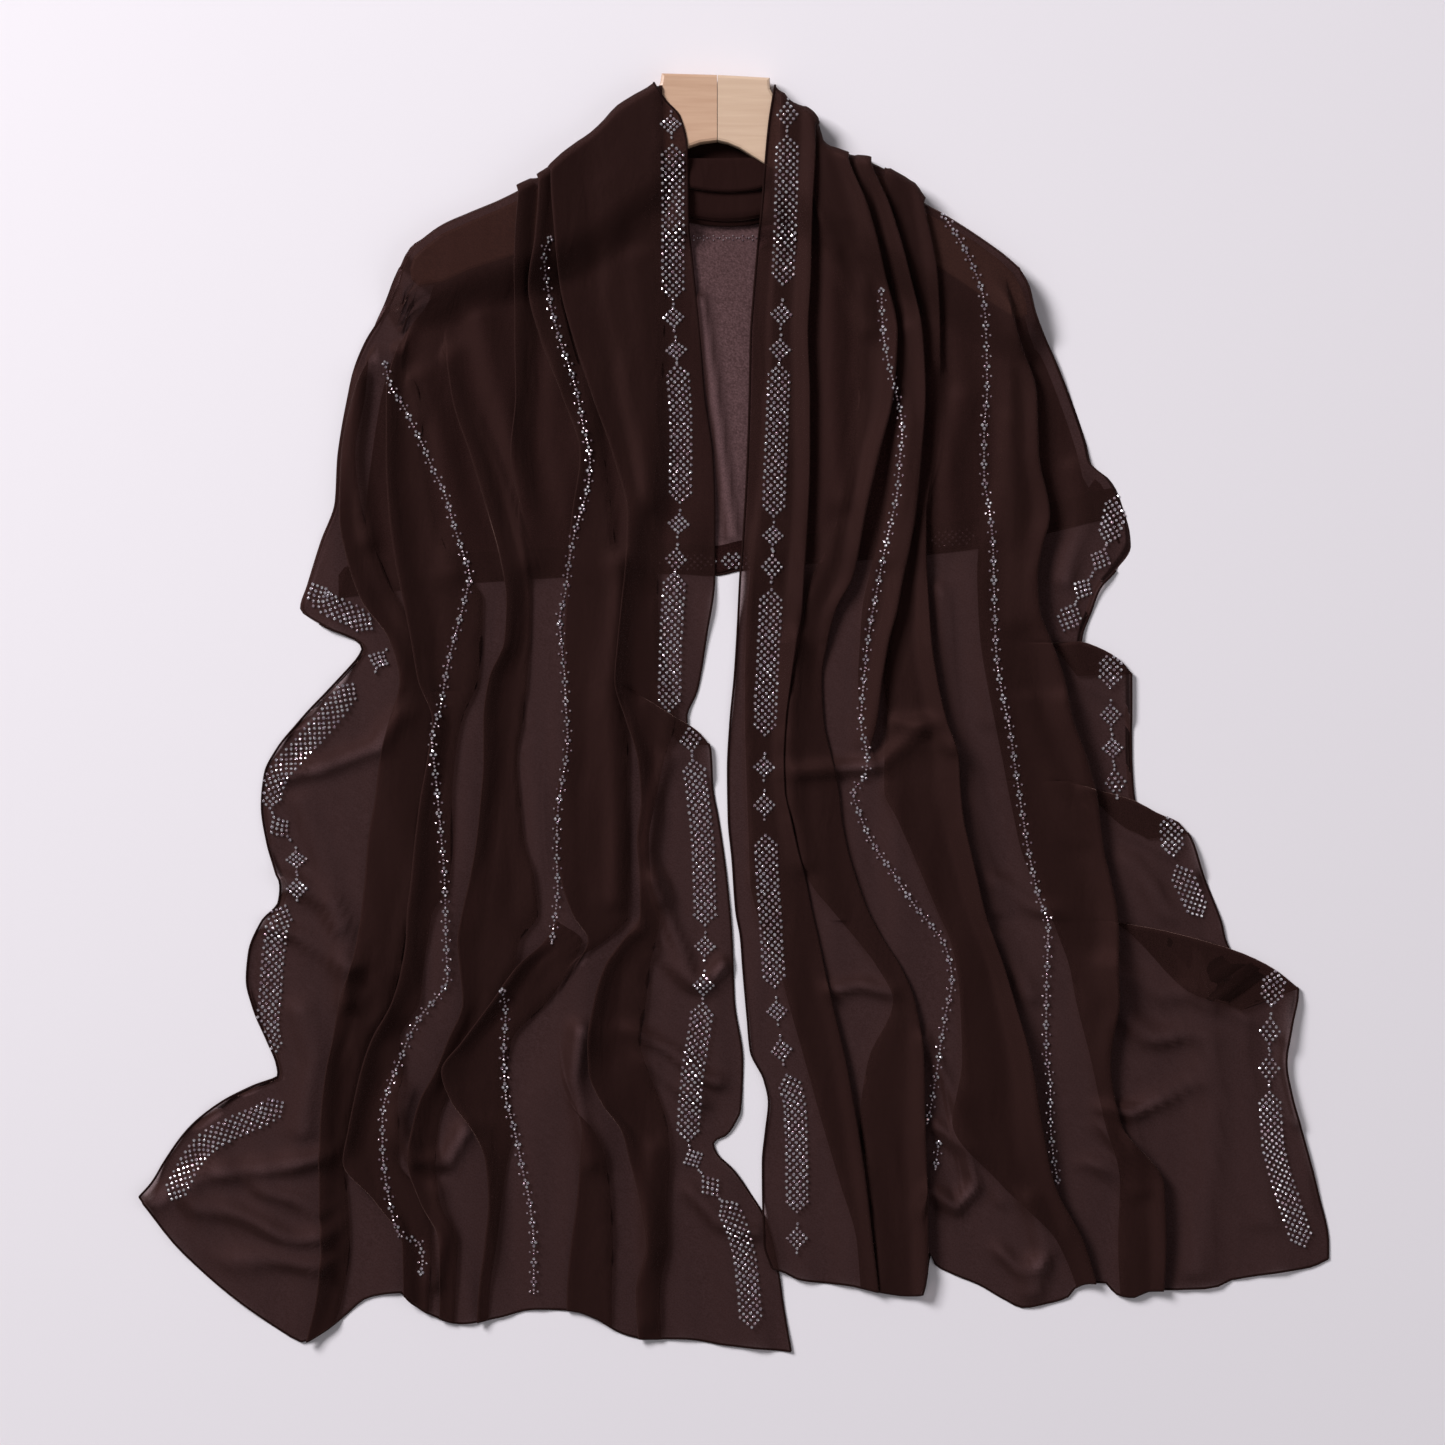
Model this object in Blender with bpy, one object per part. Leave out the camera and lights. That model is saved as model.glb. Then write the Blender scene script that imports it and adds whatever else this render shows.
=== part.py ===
"""A chiffon scarf laid flat round a wooden hanger, seen from above along -Z.

The back stretch lies on the table. The hanger lies on it, and the two ends of the scarf are
folded over the hanger's arms and lie in front in lengthwise pleats.
X runs to the wearer's left hand in the picture plane (right), Y up the picture, Z off the table.
All sizes below are in millimetres, and MM turns them into metres.
"""
import bpy
import bmesh
import numpy as np
from mathutils import Vector
from mathutils.bvhtree import BVHTree

MM = 0.001

# Cloth: thickness of its wall, and the rise from one layer's middle to the next
WALL = 1.0
PITCH = 1.8
SEAM = 0.3
MIDDLE = WALL / 2
ON_BACK = WALL + SEAM
STEEPEST = 0.6
FOLD_FADE = 4.0
LEAST_FOLD = 1.2

# Hanger: underside, thickness and the slack cloth round it
HANGER_UNDER = MIDDLE + ON_BACK + MIDDLE + SEAM
HANGER_THICK = 12.0
HANGER_BEVEL = 2.0
TENT_TOP = HANGER_UNDER + HANGER_THICK + SEAM + WALL
TENT_MARGIN = 2.5
TENT_FALL = 26.0

# Roll of cloth at the back of the neck
GATHER_X = (-34.0, 23.5)
GATHER_Y = (324.0, 358.0)
GATHER_END_Y = 392.0
GATHER_FALL = 16.0
ROLL_TOP = MIDDLE + 7 * PITCH

# Shoulder lines: x, y along the fold from the neck to the arm's tip
LEFT_SHOULDER = (
    (-218, 293), (-216, 301.5), (-204, 312.5), (-192, 321), (-174, 329), (-156, 336.5),
    (-137, 346), (-123, 354), (-110, 366), (-101, 373), (-86, 386), (-76, 397),
    (-65, 404), (-56, 409), (-52, 412))
RIGHT_SHOULDER = (
    (27, 412.5), (36, 400.5), (48, 394.5), (53, 388.5), (56, 376), (65, 369), (76, 364.5),
    (90, 361.5), (105, 354), (117, 346), (123, 337), (138, 328), (160, 314), (177.5, 301.5),
    (188, 292.5))

# Lower hems of the two ends: x, y
LEFT_FOOT = (
    (-392, -319), (-381, -335), (-363, -356), (-338, -379), (-314, -397), (-296, -409),
    (-285, -414.5), (-271, -408), (-259, -399), (-241, -385), (-220, -382), (-212, -389),
    (-201, -396), (-180, -402.5), (-156, -398.5), (-131, -393), (-107, -394), (-89, -400),
    (-74, -409), (-59, -412.5), (-34, -412.5), (-7, -416.5), (37.5, -421))
RIGHT_FOOT = (
    (25, -366), (32, -368), (42, -373), (53, -375), (74, -377), (96, -381.5), (114, -384),
    (124, -383), (127.5, -366), (129.5, -356), (133, -363.5), (144, -369.5), (162, -377),
    (177.5, -386), (191, -392), (205, -389.5), (220, -385), (225, -379), (235, -375.5),
    (245, -375.5), (252, -383), (263, -385), (272, -381), (290, -380), (315, -379),
    (327, -374), (357, -369), (381, -365), (392, -360))

# Lines across an end where it is tucked under itself: x, y
LEFT_TUCK = ((-392, 14), (-115, 14), (-77, 18), (-59, 10), (-37, -3.5), (-29, -8), (-22.5, -13),
             (-16, -21))
RIGHT_TUCK_1 = ((0, 46), (208, 46), (229, 47.5), (235.5, 45.5), (247.5, 40), (256.5, 33.5), (262, 26.5))
RIGHT_TUCK_2 = ((0, -45), (215, -45), (241.5, -51), (264, -57.5), (281, -66.5), (293, -71.5), (299.5, -79))
RIGHT_TUCK_3 = ((0, -137), (241.5, -137), (266, -140), (326.5, -155), (342, -161), (357, -169), (372, -181))

# Hems along the inner side of each end, from the neck down: y, x
LEFT_INNER = (
    (412, -52), (402, -45), (392, -36), (370, -31), (330, -30.5), (290, -27), (250, -23),
    (210, -20), (170, -14.5), (130, -13), (90, -13), (50, -18.5), (15, -24.5), (-3, -31.5),
    (-9, -30), (-14, -22), (-21, -16), (-51, -14), (-70, -10.5), (-110, -5), (-150, -1.5),
    (-190, 0), (-230, 5.5), (-262, 4), (-270, 0.5), (-278, -5), (-283, -14), (-290, -12),
    (-301, -1), (-318, 11), (-331, 19), (-345, 24), (-371, 29.5), (-392, 32.5), (-421, 37.5))
RIGHT_INNER = (
    (412.5, 27), (387, 23), (360, 20.5), (334, 18.5), (315, 16.5), (276, 13), (247, 11),
    (218, 10.5), (168, 9), (114, 6), (88, 4), (57, 2.5), (25, 0.5), (-7, -2.5), (-38, -4),
    (-70, -3.5), (-97, -1), (-131, 1.5), (-148, 4.5), (-168, 6), (-202, 9), (-223, 11),
    (-242, 20), (-257, 23), (-276, 21), (-297, 19), (-350, 20), (-366, 25))

# Outer side of each end, from the arm's tip down: y, x, and where its fold ends and its hem begins
LEFT_OUTER = (
    (293, -218), (279, -223), (261, -233.5), (244, -244), (227, -251), (205, -256), (183, -260),
    (168, -262), (140, -263.5), (113, -273), (84, -282), (69, -286.5), (57, -270), (48, -249),
    (43, -245), (38, -247), (30, -253.5), (-6, -287), (-24, -301.5), (-40, -309.5), (-61, -311.5),
    (-85, -308), (-106, -301.5), (-112, -299), (-125, -300.5), (-137, -311), (-158, -320),
    (-176, -321.5), (-195, -317), (-216, -308), (-232, -301.5), (-239, -300.5), (-246, -317),
    (-257, -338.5), (-274, -359.5), (-295, -375), (-310, -384), (-319, -392))
RIGHT_OUTER = (
    (292, 188), (280, 194.5), (264, 198.5), (236, 211), (206, 223), (178, 232.5), (163, 236.5),
    (157, 245), (148, 252), (136, 256.5), (117.5, 261.5), (110, 262), (93, 251), (82.5, 241.5),
    (67, 235.5), (47.5, 229), (45.5, 235.5), (40, 247.5), (33.5, 256.5), (26.5, 262), (-17, 262),
    (-57, 264), (-66.5, 281), (-71.5, 293), (-79, 299.5), (-106, 309), (-137, 321), (-155, 326.5),
    (-161, 342), (-169, 357), (-181, 372), (-187, 371.5), (-206, 367.5), (-231, 364), (-252, 367.5),
    (-280, 375.5), (-316, 385), (-350, 392), (-360, 392))
LEFT_FOLD_ENDS = 60.0
RIGHT_FOLD_ENDS = 95.0

# Pleats: for each section, where each fold's visible lip and hidden root lie (x)
LEFT_PLEATS = (
    # y, lip 1, root 1, lip 2, root 2, lip 3, root 3, lip 4, root 4, lip 5, root 5, lip 6, root 6
    (410, -119, -91, -127, -111, -143, -134, -168, -173, -196, -200.5, -208.5, -213),
    (370, -117, -88, -125, -109, -141, -131, -168, -173, -196, -200.5, -208.5, -213),
    (330, -117, -80.5, -126, -109, -141, -131, -171.5, -177, -196, -200.5, -208.5, -213),
    (290, -115.5, -62, -134.5, -115, -143, -133, -181, -186, -198, -202.5, -209, -213.5),
    (250, -104, -52, -125.5, -111, -144, -134.5, -189.5, -194, -209, -213.5, -225.5, -230),
    (210, -92.5, -52, -111.5, -101.5, -144, -136, -192, -195.5, -229, -212.5, -251, -247),
    (170, -80, -52, -98.5, -93.5, -146.5, -140, -172, -165, -228.5, -212.5, -259, -253.5),
    (130, -70, -52, -103, -91, -139, -143.5, -161.5, -150, -225.5, -210.5, -259, -245.5),
    (90, -73, -52, -107, -78.5, -123, -128, -152, -138, -220, -204.5, -249, -237),
    (50, -76.5, -52, -109.5, -76.5, -123, -128, -152, -138, -212.5, -196.5, -225.5, -219),
    (10, -75, -45.5, -108, -74, -123, -128, -166.5, -136, -204.5, -190.5, -219, -212.5),
    (-30, -65.5, -47.5, -107, -72.5, -123, -128, -177.5, -146.5, -204.5, -195.5, -233.5, -217),
    (-70, -62, -52, -111, -72.5, -120, -125.5, -171.5, -154.5, -207, -196.5, -237, -220.5),
    (-110, -67.5, -60, -108, -85, -116, -120.5, -172, -154.5, -212, -194, -241, -223.5),
    (-150, -75, -55.5, -105, -95, -125, -110, -183, -154.5, -216, -194, -249, -233.5),
    (-190, -92.5, -49, -115, -120, -159.5, -124.5, -179, -156, -222, -196.5, -258.5, -243.5),
    (-230, -93, -32.5, -113.5, -119, -189.5, -141, -192, -174, -243, -220.5, -266.5, -255),
    (-270, -74, -35.5, -109.5, -115, -174, -141, -208.5, -186, -256, -235, -271, -263.5),
    (-310, -62, -29, -105, -110, -164.5, -142.5, -208.5, -194, -259.5, -239, -272, -264.5),
    (-350, -54, -29, -103, -108, -167, -148, -206, -194, -256.5, -240, -272, -264.5),
    (-390, -57, -35.5, -101.5, -107, -169, -154.5, -204.5, -194, -253.5, -239, -275, -266.5),
    (-430, -55.5, -42, -101.5, -107, -171, -157.5, -204.5, -194, -252, -237.5, -286.5, -276.5))
RIGHT_PLEATS = (
    # y, lip 1, root 1, lip 2, root 2, lip 3, root 3, lip 4, root 4, lip 5, root 5
    (410, 50, 44, 70, 63.5, 84.5, 80.5, 109.5, 115, 174, 178.5),
    (370, 50, 43.5, 74, 68.5, 83, 78, 109.5, 115, 174, 178.5),
    (330, 52, 43.5, 84.5, 75, 95, 84.5, 117.5, 123, 174, 178.5),
    (290, 51.5, 40, 95, 82, 99, 88.5, 123, 128, 177, 181.5),
    (250, 49, 33.5, 97.5, 84.5, 119, 105, 130.5, 136, 184, 188.5),
    (210, 50, 30.5, 101.5, 87, 125.5, 109.5, 134.5, 140, 199.5, 182),
    (170, 51, 29, 94.5, 81, 123, 107, 132.5, 136.5, 202.5, 181),
    (130, 49.5, 27, 85, 73.5, 119, 101.5, 126.5, 124, 206, 181),
    (90, 45.5, 24, 78, 68.5, 110, 95, 127.5, 101, 200.5, 179.5),
    (50, 41.5, 17, 65.5, 60, 103, 88.5, 136, 98.5, 206.5, 182),
    (10, 36.5, 12, 60, 64.5, 90, 85, 146, 97.5, 218, 190),
    (-30, 33, 10.5, 66.5, 72, 87, 92.5, 152.5, 108, 225, 195.5),
    (-70, 37.5, 15, 76.5, 82, 99.5, 105, 152, 119.5, 234.5, 208.5),
    (-110, 49, 24, 91, 96.5, 113, 118, 159, 129.5, 239.5, 218.5),
    (-150, 57, 32.5, 109.5, 115, 129.5, 134.5, 170.5, 141, 245.5, 228.5),
    (-190, 64, 38.5, 119.5, 105, 136, 141, 185.5, 146, 250, 235),
    (-230, 76.5, 46, 126, 88.5, 142.5, 148, 196.5, 150, 253.5, 241.5),
    (-270, 82, 56, 126.5, 87, 146, 151, 203.5, 159, 257.5, 247),
    (-310, 87, 67.5, 126.5, 91, 150.5, 156, 211, 189, 261.5, 249.5),
    (-350, 94.5, 77, 127.5, 99.5, 154.5, 159.5, 231, 216.5, 269.5, 255),
    (-390, 100.5, 82, 126, 105, 156, 161, 249.5, 240, 274.5, 260),
    (-430, 103, 83, 126, 105, 156, 161, 261.5, 251.5, 278, 261.5))

# Where rows of the cloth lie between one line across it and the next, as shares
ROWS = {
    "left": (
        (0.012, 0.03, 0.05, 0.075, 0.105, 0.14, 0.18, 0.23, 0.29, 0.36, 0.44, 0.53, 0.62, 0.71,
         0.8, 0.87, 0.9, 0.95),
        (0.04, 0.1, 0.18, 0.27, 0.36, 0.45, 0.54, 0.63, 0.72, 0.81, 0.91, 1.0)),
    "right": (
        (0.012, 0.03, 0.05, 0.075, 0.105, 0.14, 0.18, 0.23, 0.29, 0.36, 0.45, 0.54, 0.63, 0.74,
         0.85, 0.93),
        (0.25, 0.5, 0.75), (0.25, 0.5, 0.75), (0.1, 0.2, 0.32, 0.45, 0.6, 0.75, 0.88, 1.0))}
WIDE_SPAN = (0.0, 0.34, 0.67, 1.0)
BACK_SPAN = (0.0, 1.0)
TUCK_HALF = 4.0
TUCK_STEP = 0.3
EDGE_DROP = 1.6
HEM_WIDTH = 4.0
SHOULDER_ROUND = 0.8
SETTLE_ROUNDS = 40
SETTLE_STEP = 0.25

# Back stretch: x, y of its lower hem, and its upper edge behind the neck
BACK_HEM = ((-287, 73), (-234, 80), (-181, 86), (-39, 92.5), (-12.5, 91), (4.5, 94.5), (126, 105),
            (162, 109.5), (202, 118), (238, 127), (259, 131))
BACK_NECK_Y = 398.0
BACK_INSET = 3.4
BACK_X = (-262.0, 247.0)
BACK_COLUMNS = 27
BACK_ROWS = (0.0, 0.2, 0.4, 0.6, 0.8, 1.0)

# Neck roll: y of each turn of the cloth and its layer, from the hidden inner hem to the end
GATHER_FOLDS = ((356, 5), (342, 5), (342, 4), (355, 4), (355, 3), (334, 3), (334, 2), (356, 2),
                (356, 1), (325, 1), (325, 0), (358, 0), (392, 0))
GATHER_BOW = 2.5
GATHER_COLUMNS = 7

# Hanger outline, one half: x, y from the glued seam round to the seam again
SEAM_X = -11.0
HANGER_LEFT = (
    (-11.2, 419.4), (-47.5, 420.4), (-48.5, 414), (-52.5, 405), (-61, 399.5), (-74, 391.5), (-85, 380.5),
    (-100, 368), (-118, 353.5), (-136, 340), (-156, 330.5), (-174, 323), (-192, 315), (-204, 306),
    (-211, 299), (-213, 292), (-212, 285), (-207, 280.5), (-190, 283.5), (-174, 291), (-128, 305.5),
    (-95, 323), (-60, 349), (-31, 371.5), (-22, 374.6), (-11.2, 376))
HANGER_RIGHT = (
    (-10.8, 376), (-4, 374.4), (4, 371), (19, 361.5), (50, 343), (90, 318), (139, 290), (180, 262),
    (188, 259.5), (192.5, 262), (192.5, 268), (189, 279), (183, 289.5), (174, 298), (158, 310),
    (136, 323.5), (119, 332), (113, 341), (103, 349), (90, 356.5), (76, 359), (63, 364), (52, 372),
    (49, 383), (46, 389), (35, 394), (30, 399.5), (24, 410), (23.5, 417.5), (-10.8, 419.4))

COLOURS = {
    # name: base colour, roughness
    "back": ((0.055, 0.030, 0.027, 1.0), 0.75),
    "neck": ((0.040, 0.022, 0.020, 1.0), 0.75),
    "front": ((0.048, 0.025, 0.023, 1.0), 0.75),
    "beech": ((0.62, 0.44, 0.27, 1.0), 0.45),
    "maple": ((0.72, 0.58, 0.42, 1.0), 0.45)}


def clear_scene():
    for thing in list(bpy.data.objects):
        bpy.data.objects.remove(thing, do_unlink=True)


def material(name):
    colour, roughness = COLOURS[name]
    mat = bpy.data.materials.new(name)
    mat.use_nodes = True
    shader = mat.node_tree.nodes["Principled BSDF"]
    shader.inputs["Base Color"].default_value = colour
    shader.inputs["Roughness"].default_value = roughness
    shader.inputs["Metallic"].default_value = 0.0
    return mat


def smooth(value):
    """Soft step from 0 to 1."""
    t = np.clip(value, 0.0, 1.0)
    return t * t * (3 - 2 * t)


def curve(points):
    """A smooth curve through points of rising or falling first value, with no overshoot."""
    table = np.array(sorted(points), dtype=float)
    at, value = table[:, 0], table[:, 1]
    step = np.diff(at)
    rise = np.diff(value) / step
    lean = np.zeros(len(at))
    lean[0], lean[-1] = rise[0], rise[-1]
    for i in range(1, len(at) - 1):
        if rise[i - 1] * rise[i] > 0:
            before, after = 2 * step[i] + step[i - 1], step[i] + 2 * step[i - 1]
            lean[i] = (before + after) / (before / rise[i - 1] + after / rise[i])

    def read(where):
        where = np.clip(where, at[0], at[-1])
        i = np.clip(np.searchsorted(at, where) - 1, 0, len(at) - 2)
        h = step[i]
        t = (where - at[i]) / h
        return ((1 + 2 * t) * (1 - t) ** 2 * value[i] + t * (1 - t) ** 2 * h * lean[i]
                + t * t * (3 - 2 * t) * value[i + 1] + t * t * (t - 1) * h * lean[i + 1])
    return read


def outline_distance(x, y, outline):
    """Distance from each place to a closed outline, 0 inside it."""
    ring = np.array(outline, dtype=float)
    ends = np.roll(ring, -1, axis=0)
    nearest = np.full(np.shape(x), 1e9)
    inside = np.zeros(np.shape(x), dtype=bool)
    for (ax, ay), (bx, by) in zip(ring, ends):
        dx, dy = bx - ax, by - ay
        t = np.clip(((x - ax) * dx + (y - ay) * dy) / (dx * dx + dy * dy), 0, 1)
        nearest = np.minimum(nearest, np.hypot(x - ax - t * dx, y - ay - t * dy))
        crosses = (ay > y) != (by > y)
        level = ax + (y - ay) * dx / (dy if dy else 1e-9)
        inside ^= crosses & (x < level)
    return np.where(inside, 0.0, nearest)


def rest_height(x, y, side):
    """Height of the middle of a single layer of a front end, lying softly over what is under it."""
    height = MIDDLE + ON_BACK * smooth((y - curve(BACK_HEM)(x) + 8.0) / 6.0)
    away = outline_distance(x, y, HANGER_LEFT[:-1] + HANGER_RIGHT[1:-1])
    height = np.maximum(height, MIDDLE + (TENT_TOP - MIDDLE) * smooth(1 - (away - TENT_MARGIN) / TENT_FALL))
    height = np.maximum(height, ROLL_TOP * smooth(1 - (roll_distance(x, y) - 1.5) / GATHER_FALL))
    if side == "right":
        overlap = smooth((curve(LEFT_INNER)(y) + 8.0 - x) / 6.0) * smooth((-300.0 - y) / 8.0)
        height = np.maximum(height, MIDDLE + ON_BACK * overlap)
    return height


def least_height(x, y, side):
    """Height that the middle of a front end can't be under at a place."""
    height = np.where(y > curve(BACK_HEM)(x) - 1.0, MIDDLE + ON_BACK, MIDDLE)
    away = outline_distance(x, y, HANGER_LEFT[:-1] + HANGER_RIGHT[1:-1])
    height = np.where(away < 1.0, TENT_TOP, height)
    height = np.where(roll_distance(x, y) < 1.5, np.maximum(height, ROLL_TOP), height)
    if side == "right":
        crossing = (curve(LEFT_INNER)(y) + 1.5 > x) & (y < -300)
        height = np.where(crossing, np.maximum(height, MIDDLE + ON_BACK), height)
    return height


def roll_distance(x, y):
    across = np.maximum(GATHER_X[0] - x, x - GATHER_X[1])
    along = np.maximum(GATHER_Y[0] - y, y - GATHER_Y[1])
    return np.maximum(np.maximum(across, along), 0.0)


class End:
    """One end of the scarf, from the shoulder fold to its lower hem, as a grid of points."""

    def __init__(self, side):
        left = side == "left"
        self.side = side
        self.out = -1 if left else 1
        lines = ((LEFT_SHOULDER, LEFT_TUCK, LEFT_FOOT) if left else
                 (RIGHT_SHOULDER, RIGHT_TUCK_1, RIGHT_TUCK_2, RIGHT_TUCK_3, RIGHT_FOOT))
        self.lines = [curve(line) for line in lines]
        self.fold_ends = LEFT_FOLD_ENDS if left else RIGHT_FOLD_ENDS
        pleats = np.array(LEFT_PLEATS if left else RIGHT_PLEATS, dtype=float)
        self.paths = [curve(LEFT_INNER if left else RIGHT_INNER)]
        self.paths += [curve(list(zip(pleats[:, 0], pleats[:, i]))) for i in range(1, pleats.shape[1])]
        self.paths += [curve(LEFT_OUTER if left else RIGHT_OUTER)]

    def rows(self):
        """The rows down the cloth: height as a function of x, and whether it is over a tuck."""
        rows = [(self.lines[0], "floor"), (self.lines[0], "edge")]
        for k, shares in enumerate(ROWS[self.side]):
            upper, lower = self.lines[k], self.lines[k + 1]
            rows += [(self.between(upper, lower, s), "plain") for s in shares]
            if k + 1 < len(self.lines) - 1:
                rows += [(self.shifted(lower, TUCK_HALF), "over"),
                         (self.shifted(lower, -TUCK_HALF), "under")]
        return rows

    def between(self, upper, lower, share):
        return lambda x: (1 - share) * upper(x) + share * lower(x)

    def shifted(self, line, rise):
        return lambda x: line(x) + rise

    def meet(self, path, row, first):
        """Where a line down the cloth meets a row across it."""
        y = np.linspace(430.0, -440.0, 1741)
        gap = y - row(path(y))
        turns = np.nonzero((gap[:-1] > 0) & (gap[1:] <= 0))[0]
        i = turns[0] if first else turns[-1]
        share = gap[i] / (gap[i] - gap[i + 1])
        return float(path(y[i] + share * (y[i + 1] - y[i])))

    def depths(self, stops):
        """How far each fold is turned under in each row; below 0 it lies open."""
        depth = self.out * (stops[:, 1:-1:2] - stops[:, 2:-1:2])
        depth = np.where(depth >= 0, np.maximum(depth, LEAST_FOLD), np.minimum(depth, -LEAST_FOLD))
        for k in range(depth.shape[1]):
            for r in range(len(depth) - 1):
                if depth[r, k] * depth[r + 1, k] < 0:
                    for near in (r, r + 1):
                        depth[near, k] = np.clip(depth[near, k], -LEAST_FOLD, LEAST_FOLD)
        return depth

    def section(self, stops, deep):
        """Spans of cloth across a row, from the inner hem to the outer side, as x positions."""
        stops = stops.copy()
        for k, depth in enumerate(deep):
            stops[2 * k + 2] = stops[2 * k + 1] - self.out * depth
        spans = []
        for k in range(len(stops) - 1):
            shares = np.array(WIDE_SPAN if k % 2 == 0 else BACK_SPAN)
            spans.append(stops[k] + (stops[k + 1] - stops[k]) * shares)
        for k, depth in enumerate(deep):
            flat = 0.4 * self.out * (1 - smooth((depth + FOLD_FADE) / FOLD_FADE))
            spans[2 * k + 1][0] += flat
            spans[2 * k + 1][-1] -= flat
        return spans

    def stack(self, spans, turn, margins, heights):
        """Lays the spans of a row on those that lie under them."""
        last = len(spans) - 1
        for _ in range(5):
            for i in range(last, -1, -1):
                for j in range(last, i, -1):
                    joined = j == i + 1
                    straddled = j == i + 2 and i % 2 == 0
                    gap = turn[i // 2] * (2 if straddled else 1) if joined or straddled else PITCH
                    margin = 0.3 if joined or straddled else margins[j] + margins[i]
                    self.lift(spans[i], heights[i], spans[j], heights[j], gap, margin)
            for i in range(last):
                step = turn[i // 2]
                heights[i + 1][0] = max(heights[i + 1][0], heights[i][-1] - step)
                heights[i][-1] = max(heights[i][-1], heights[i + 1][0] + step)
            for span, height in zip(spans, heights):
                for c in range(1, len(span)):
                    height[c] = max(height[c], height[c - 1] - STEEPEST * abs(span[c] - span[c - 1]))
                for c in range(len(span) - 2, -1, -1):
                    height[c] = max(height[c], height[c + 1] - STEEPEST * abs(span[c] - span[c + 1]))
        return heights

    def lift(self, over, over_z, under, under_z, gap, margin):
        """Raises the upper span to clear the lower one."""
        order = np.argsort(under)
        low, high = under[order[0]], under[order[-1]]
        reach = (over >= low - margin) & (over <= high + margin)
        needed = np.interp(over, under[order], under_z[order]) + gap
        over_z[reach] = np.maximum(over_z[reach], needed[reach])
        for x, z in zip(under, under_z):
            for c in range(len(over) - 1):
                a, b = over[c], over[c + 1]
                if min(a, b) <= x <= max(a, b) and abs(b - a) > 1e-6:
                    t = (x - a) / (b - a)
                    short = z + gap - ((1 - t) * over_z[c] + t * over_z[c + 1])
                    if short > 0:
                        over_z[c] += short
                        over_z[c + 1] += short

    def grid(self):
        """Points of the middle of the cloth, row by row."""
        rows = self.rows()
        stops = np.array([[self.meet(path, row, kind == "over") for path in self.paths]
                          for row, kind in rows])
        depth = self.depths(stops)
        sections = [self.section(*pair) for pair in zip(stops, depth)]
        turn = PITCH * smooth((depth + FOLD_FADE) / FOLD_FADE)
        padded = np.pad(turn, ((1, 1), (0, 0)), mode="edge")
        turn = np.maximum(np.maximum(padded[:-2], padded[2:]), turn)
        ends = np.array([[(span[0], span[-1]) for span in spans] for spans in sections])
        shift = np.pad(np.abs(np.diff(ends, axis=0)).max(axis=2), ((1, 1), (0, 0)))
        margins = np.minimum(0.6 * np.maximum(shift[:-1], shift[1:]) + 0.3, 8.0)
        x = np.array([np.concatenate(spans) for spans in sections])
        y = np.array([row(line) for line, (row, kind) in zip(x, rows)])
        z = self.over_all(x, y, rest_height(x, y, self.side))
        split = np.cumsum([len(span) for span in sections[0]])[:-1]
        grid = []
        for r, (row, kind) in enumerate(rows):
            heights = self.stack(sections[r], turn[r], margins[r], np.split(z[r], split))
            grid.append(self.finish(x[r], y[r], np.concatenate(heights), row, kind))
        return np.array(grid)

    def over_all(self, x, y, z):
        """Raises the corners of each patch over what is under its middle."""
        need = np.zeros((x.shape[0] - 1, x.shape[1] - 1))
        for u in (0.0, 0.25, 0.5, 0.75, 1.0):
            for v in (0.0, 0.25, 0.5, 0.75, 1.0):
                px, py = ((1 - u) * ((1 - v) * g[:-1, :-1] + v * g[:-1, 1:])
                          + u * ((1 - v) * g[1:, :-1] + v * g[1:, 1:]) for g in (x, y))
                need = np.maximum(need, least_height(px, py, self.side))
        need[0] = 0.0
        for r in (slice(0, -1), slice(1, None)):
            for c in (slice(0, -1), slice(1, None)):
                z[r, c] = np.maximum(z[r, c], need)
        return z

    def finish(self, x, y, z, row, kind):
        """Gives a row its side: a fold that stands on the table, or a hem; and its shoulder fold."""
        edge, edge_y = x[-1], y[-1]
        x, y, z = np.append(x, edge), np.append(y, edge_y), np.append(z, z[-1])
        x[-2] -= self.out * (EDGE_DROP if edge_y > self.fold_ends else HEM_WIDTH)
        y[-2] = row(x[-2])
        if edge_y > self.fold_ends:
            z[-1] = 0.0
        if kind in ("floor", "edge"):
            lean = np.clip((row(x + 1.5) - row(x - 1.5)) / 3.0, -3.0, 3.0)
            size = np.hypot(lean, 1.0)
            lift = z - rest_height(x, y, self.side)
            lift[-1] = lift[-2]
            inset = 0.2 if kind == "edge" else 0.0
            x = x - lean / size * (lift - inset)
            y = y + (lift - inset) / size
            z = np.zeros_like(z) if kind == "floor" else np.maximum(z - SHOULDER_ROUND, 0.5 * z)
            z[-1] = 0.0
            if kind == "edge":
                y[-1] -= 1.6
        if kind == "under":
            z = z + TUCK_STEP * smooth((x * self.out - 200.0) / 20.0) * (self.out > 0)
        return np.stack([x, y, z], axis=1)


def sheet(points):
    """A grid mesh through rows of points."""
    count = points.shape
    bm = bmesh.new()
    bmesh.ops.create_grid(bm, x_segments=count[1] - 1, y_segments=count[0] - 1, size=1.0)
    cell = bm.faces.layers.int.new("cell")
    for face in bm.faces:
        middle = face.calc_center_median()
        c = int((middle.x + 1) / 2 * (count[1] - 1))
        r = int((middle.y + 1) / 2 * (count[0] - 1))
        face[cell] = r * count[1] + c + 1
    for vert in bm.verts:
        c = round((vert.co.x + 1) / 2 * (count[1] - 1))
        r = round((vert.co.y + 1) / 2 * (count[0] - 1))
        vert.co = Vector(points[r, c]) * MM
    return bm


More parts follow.
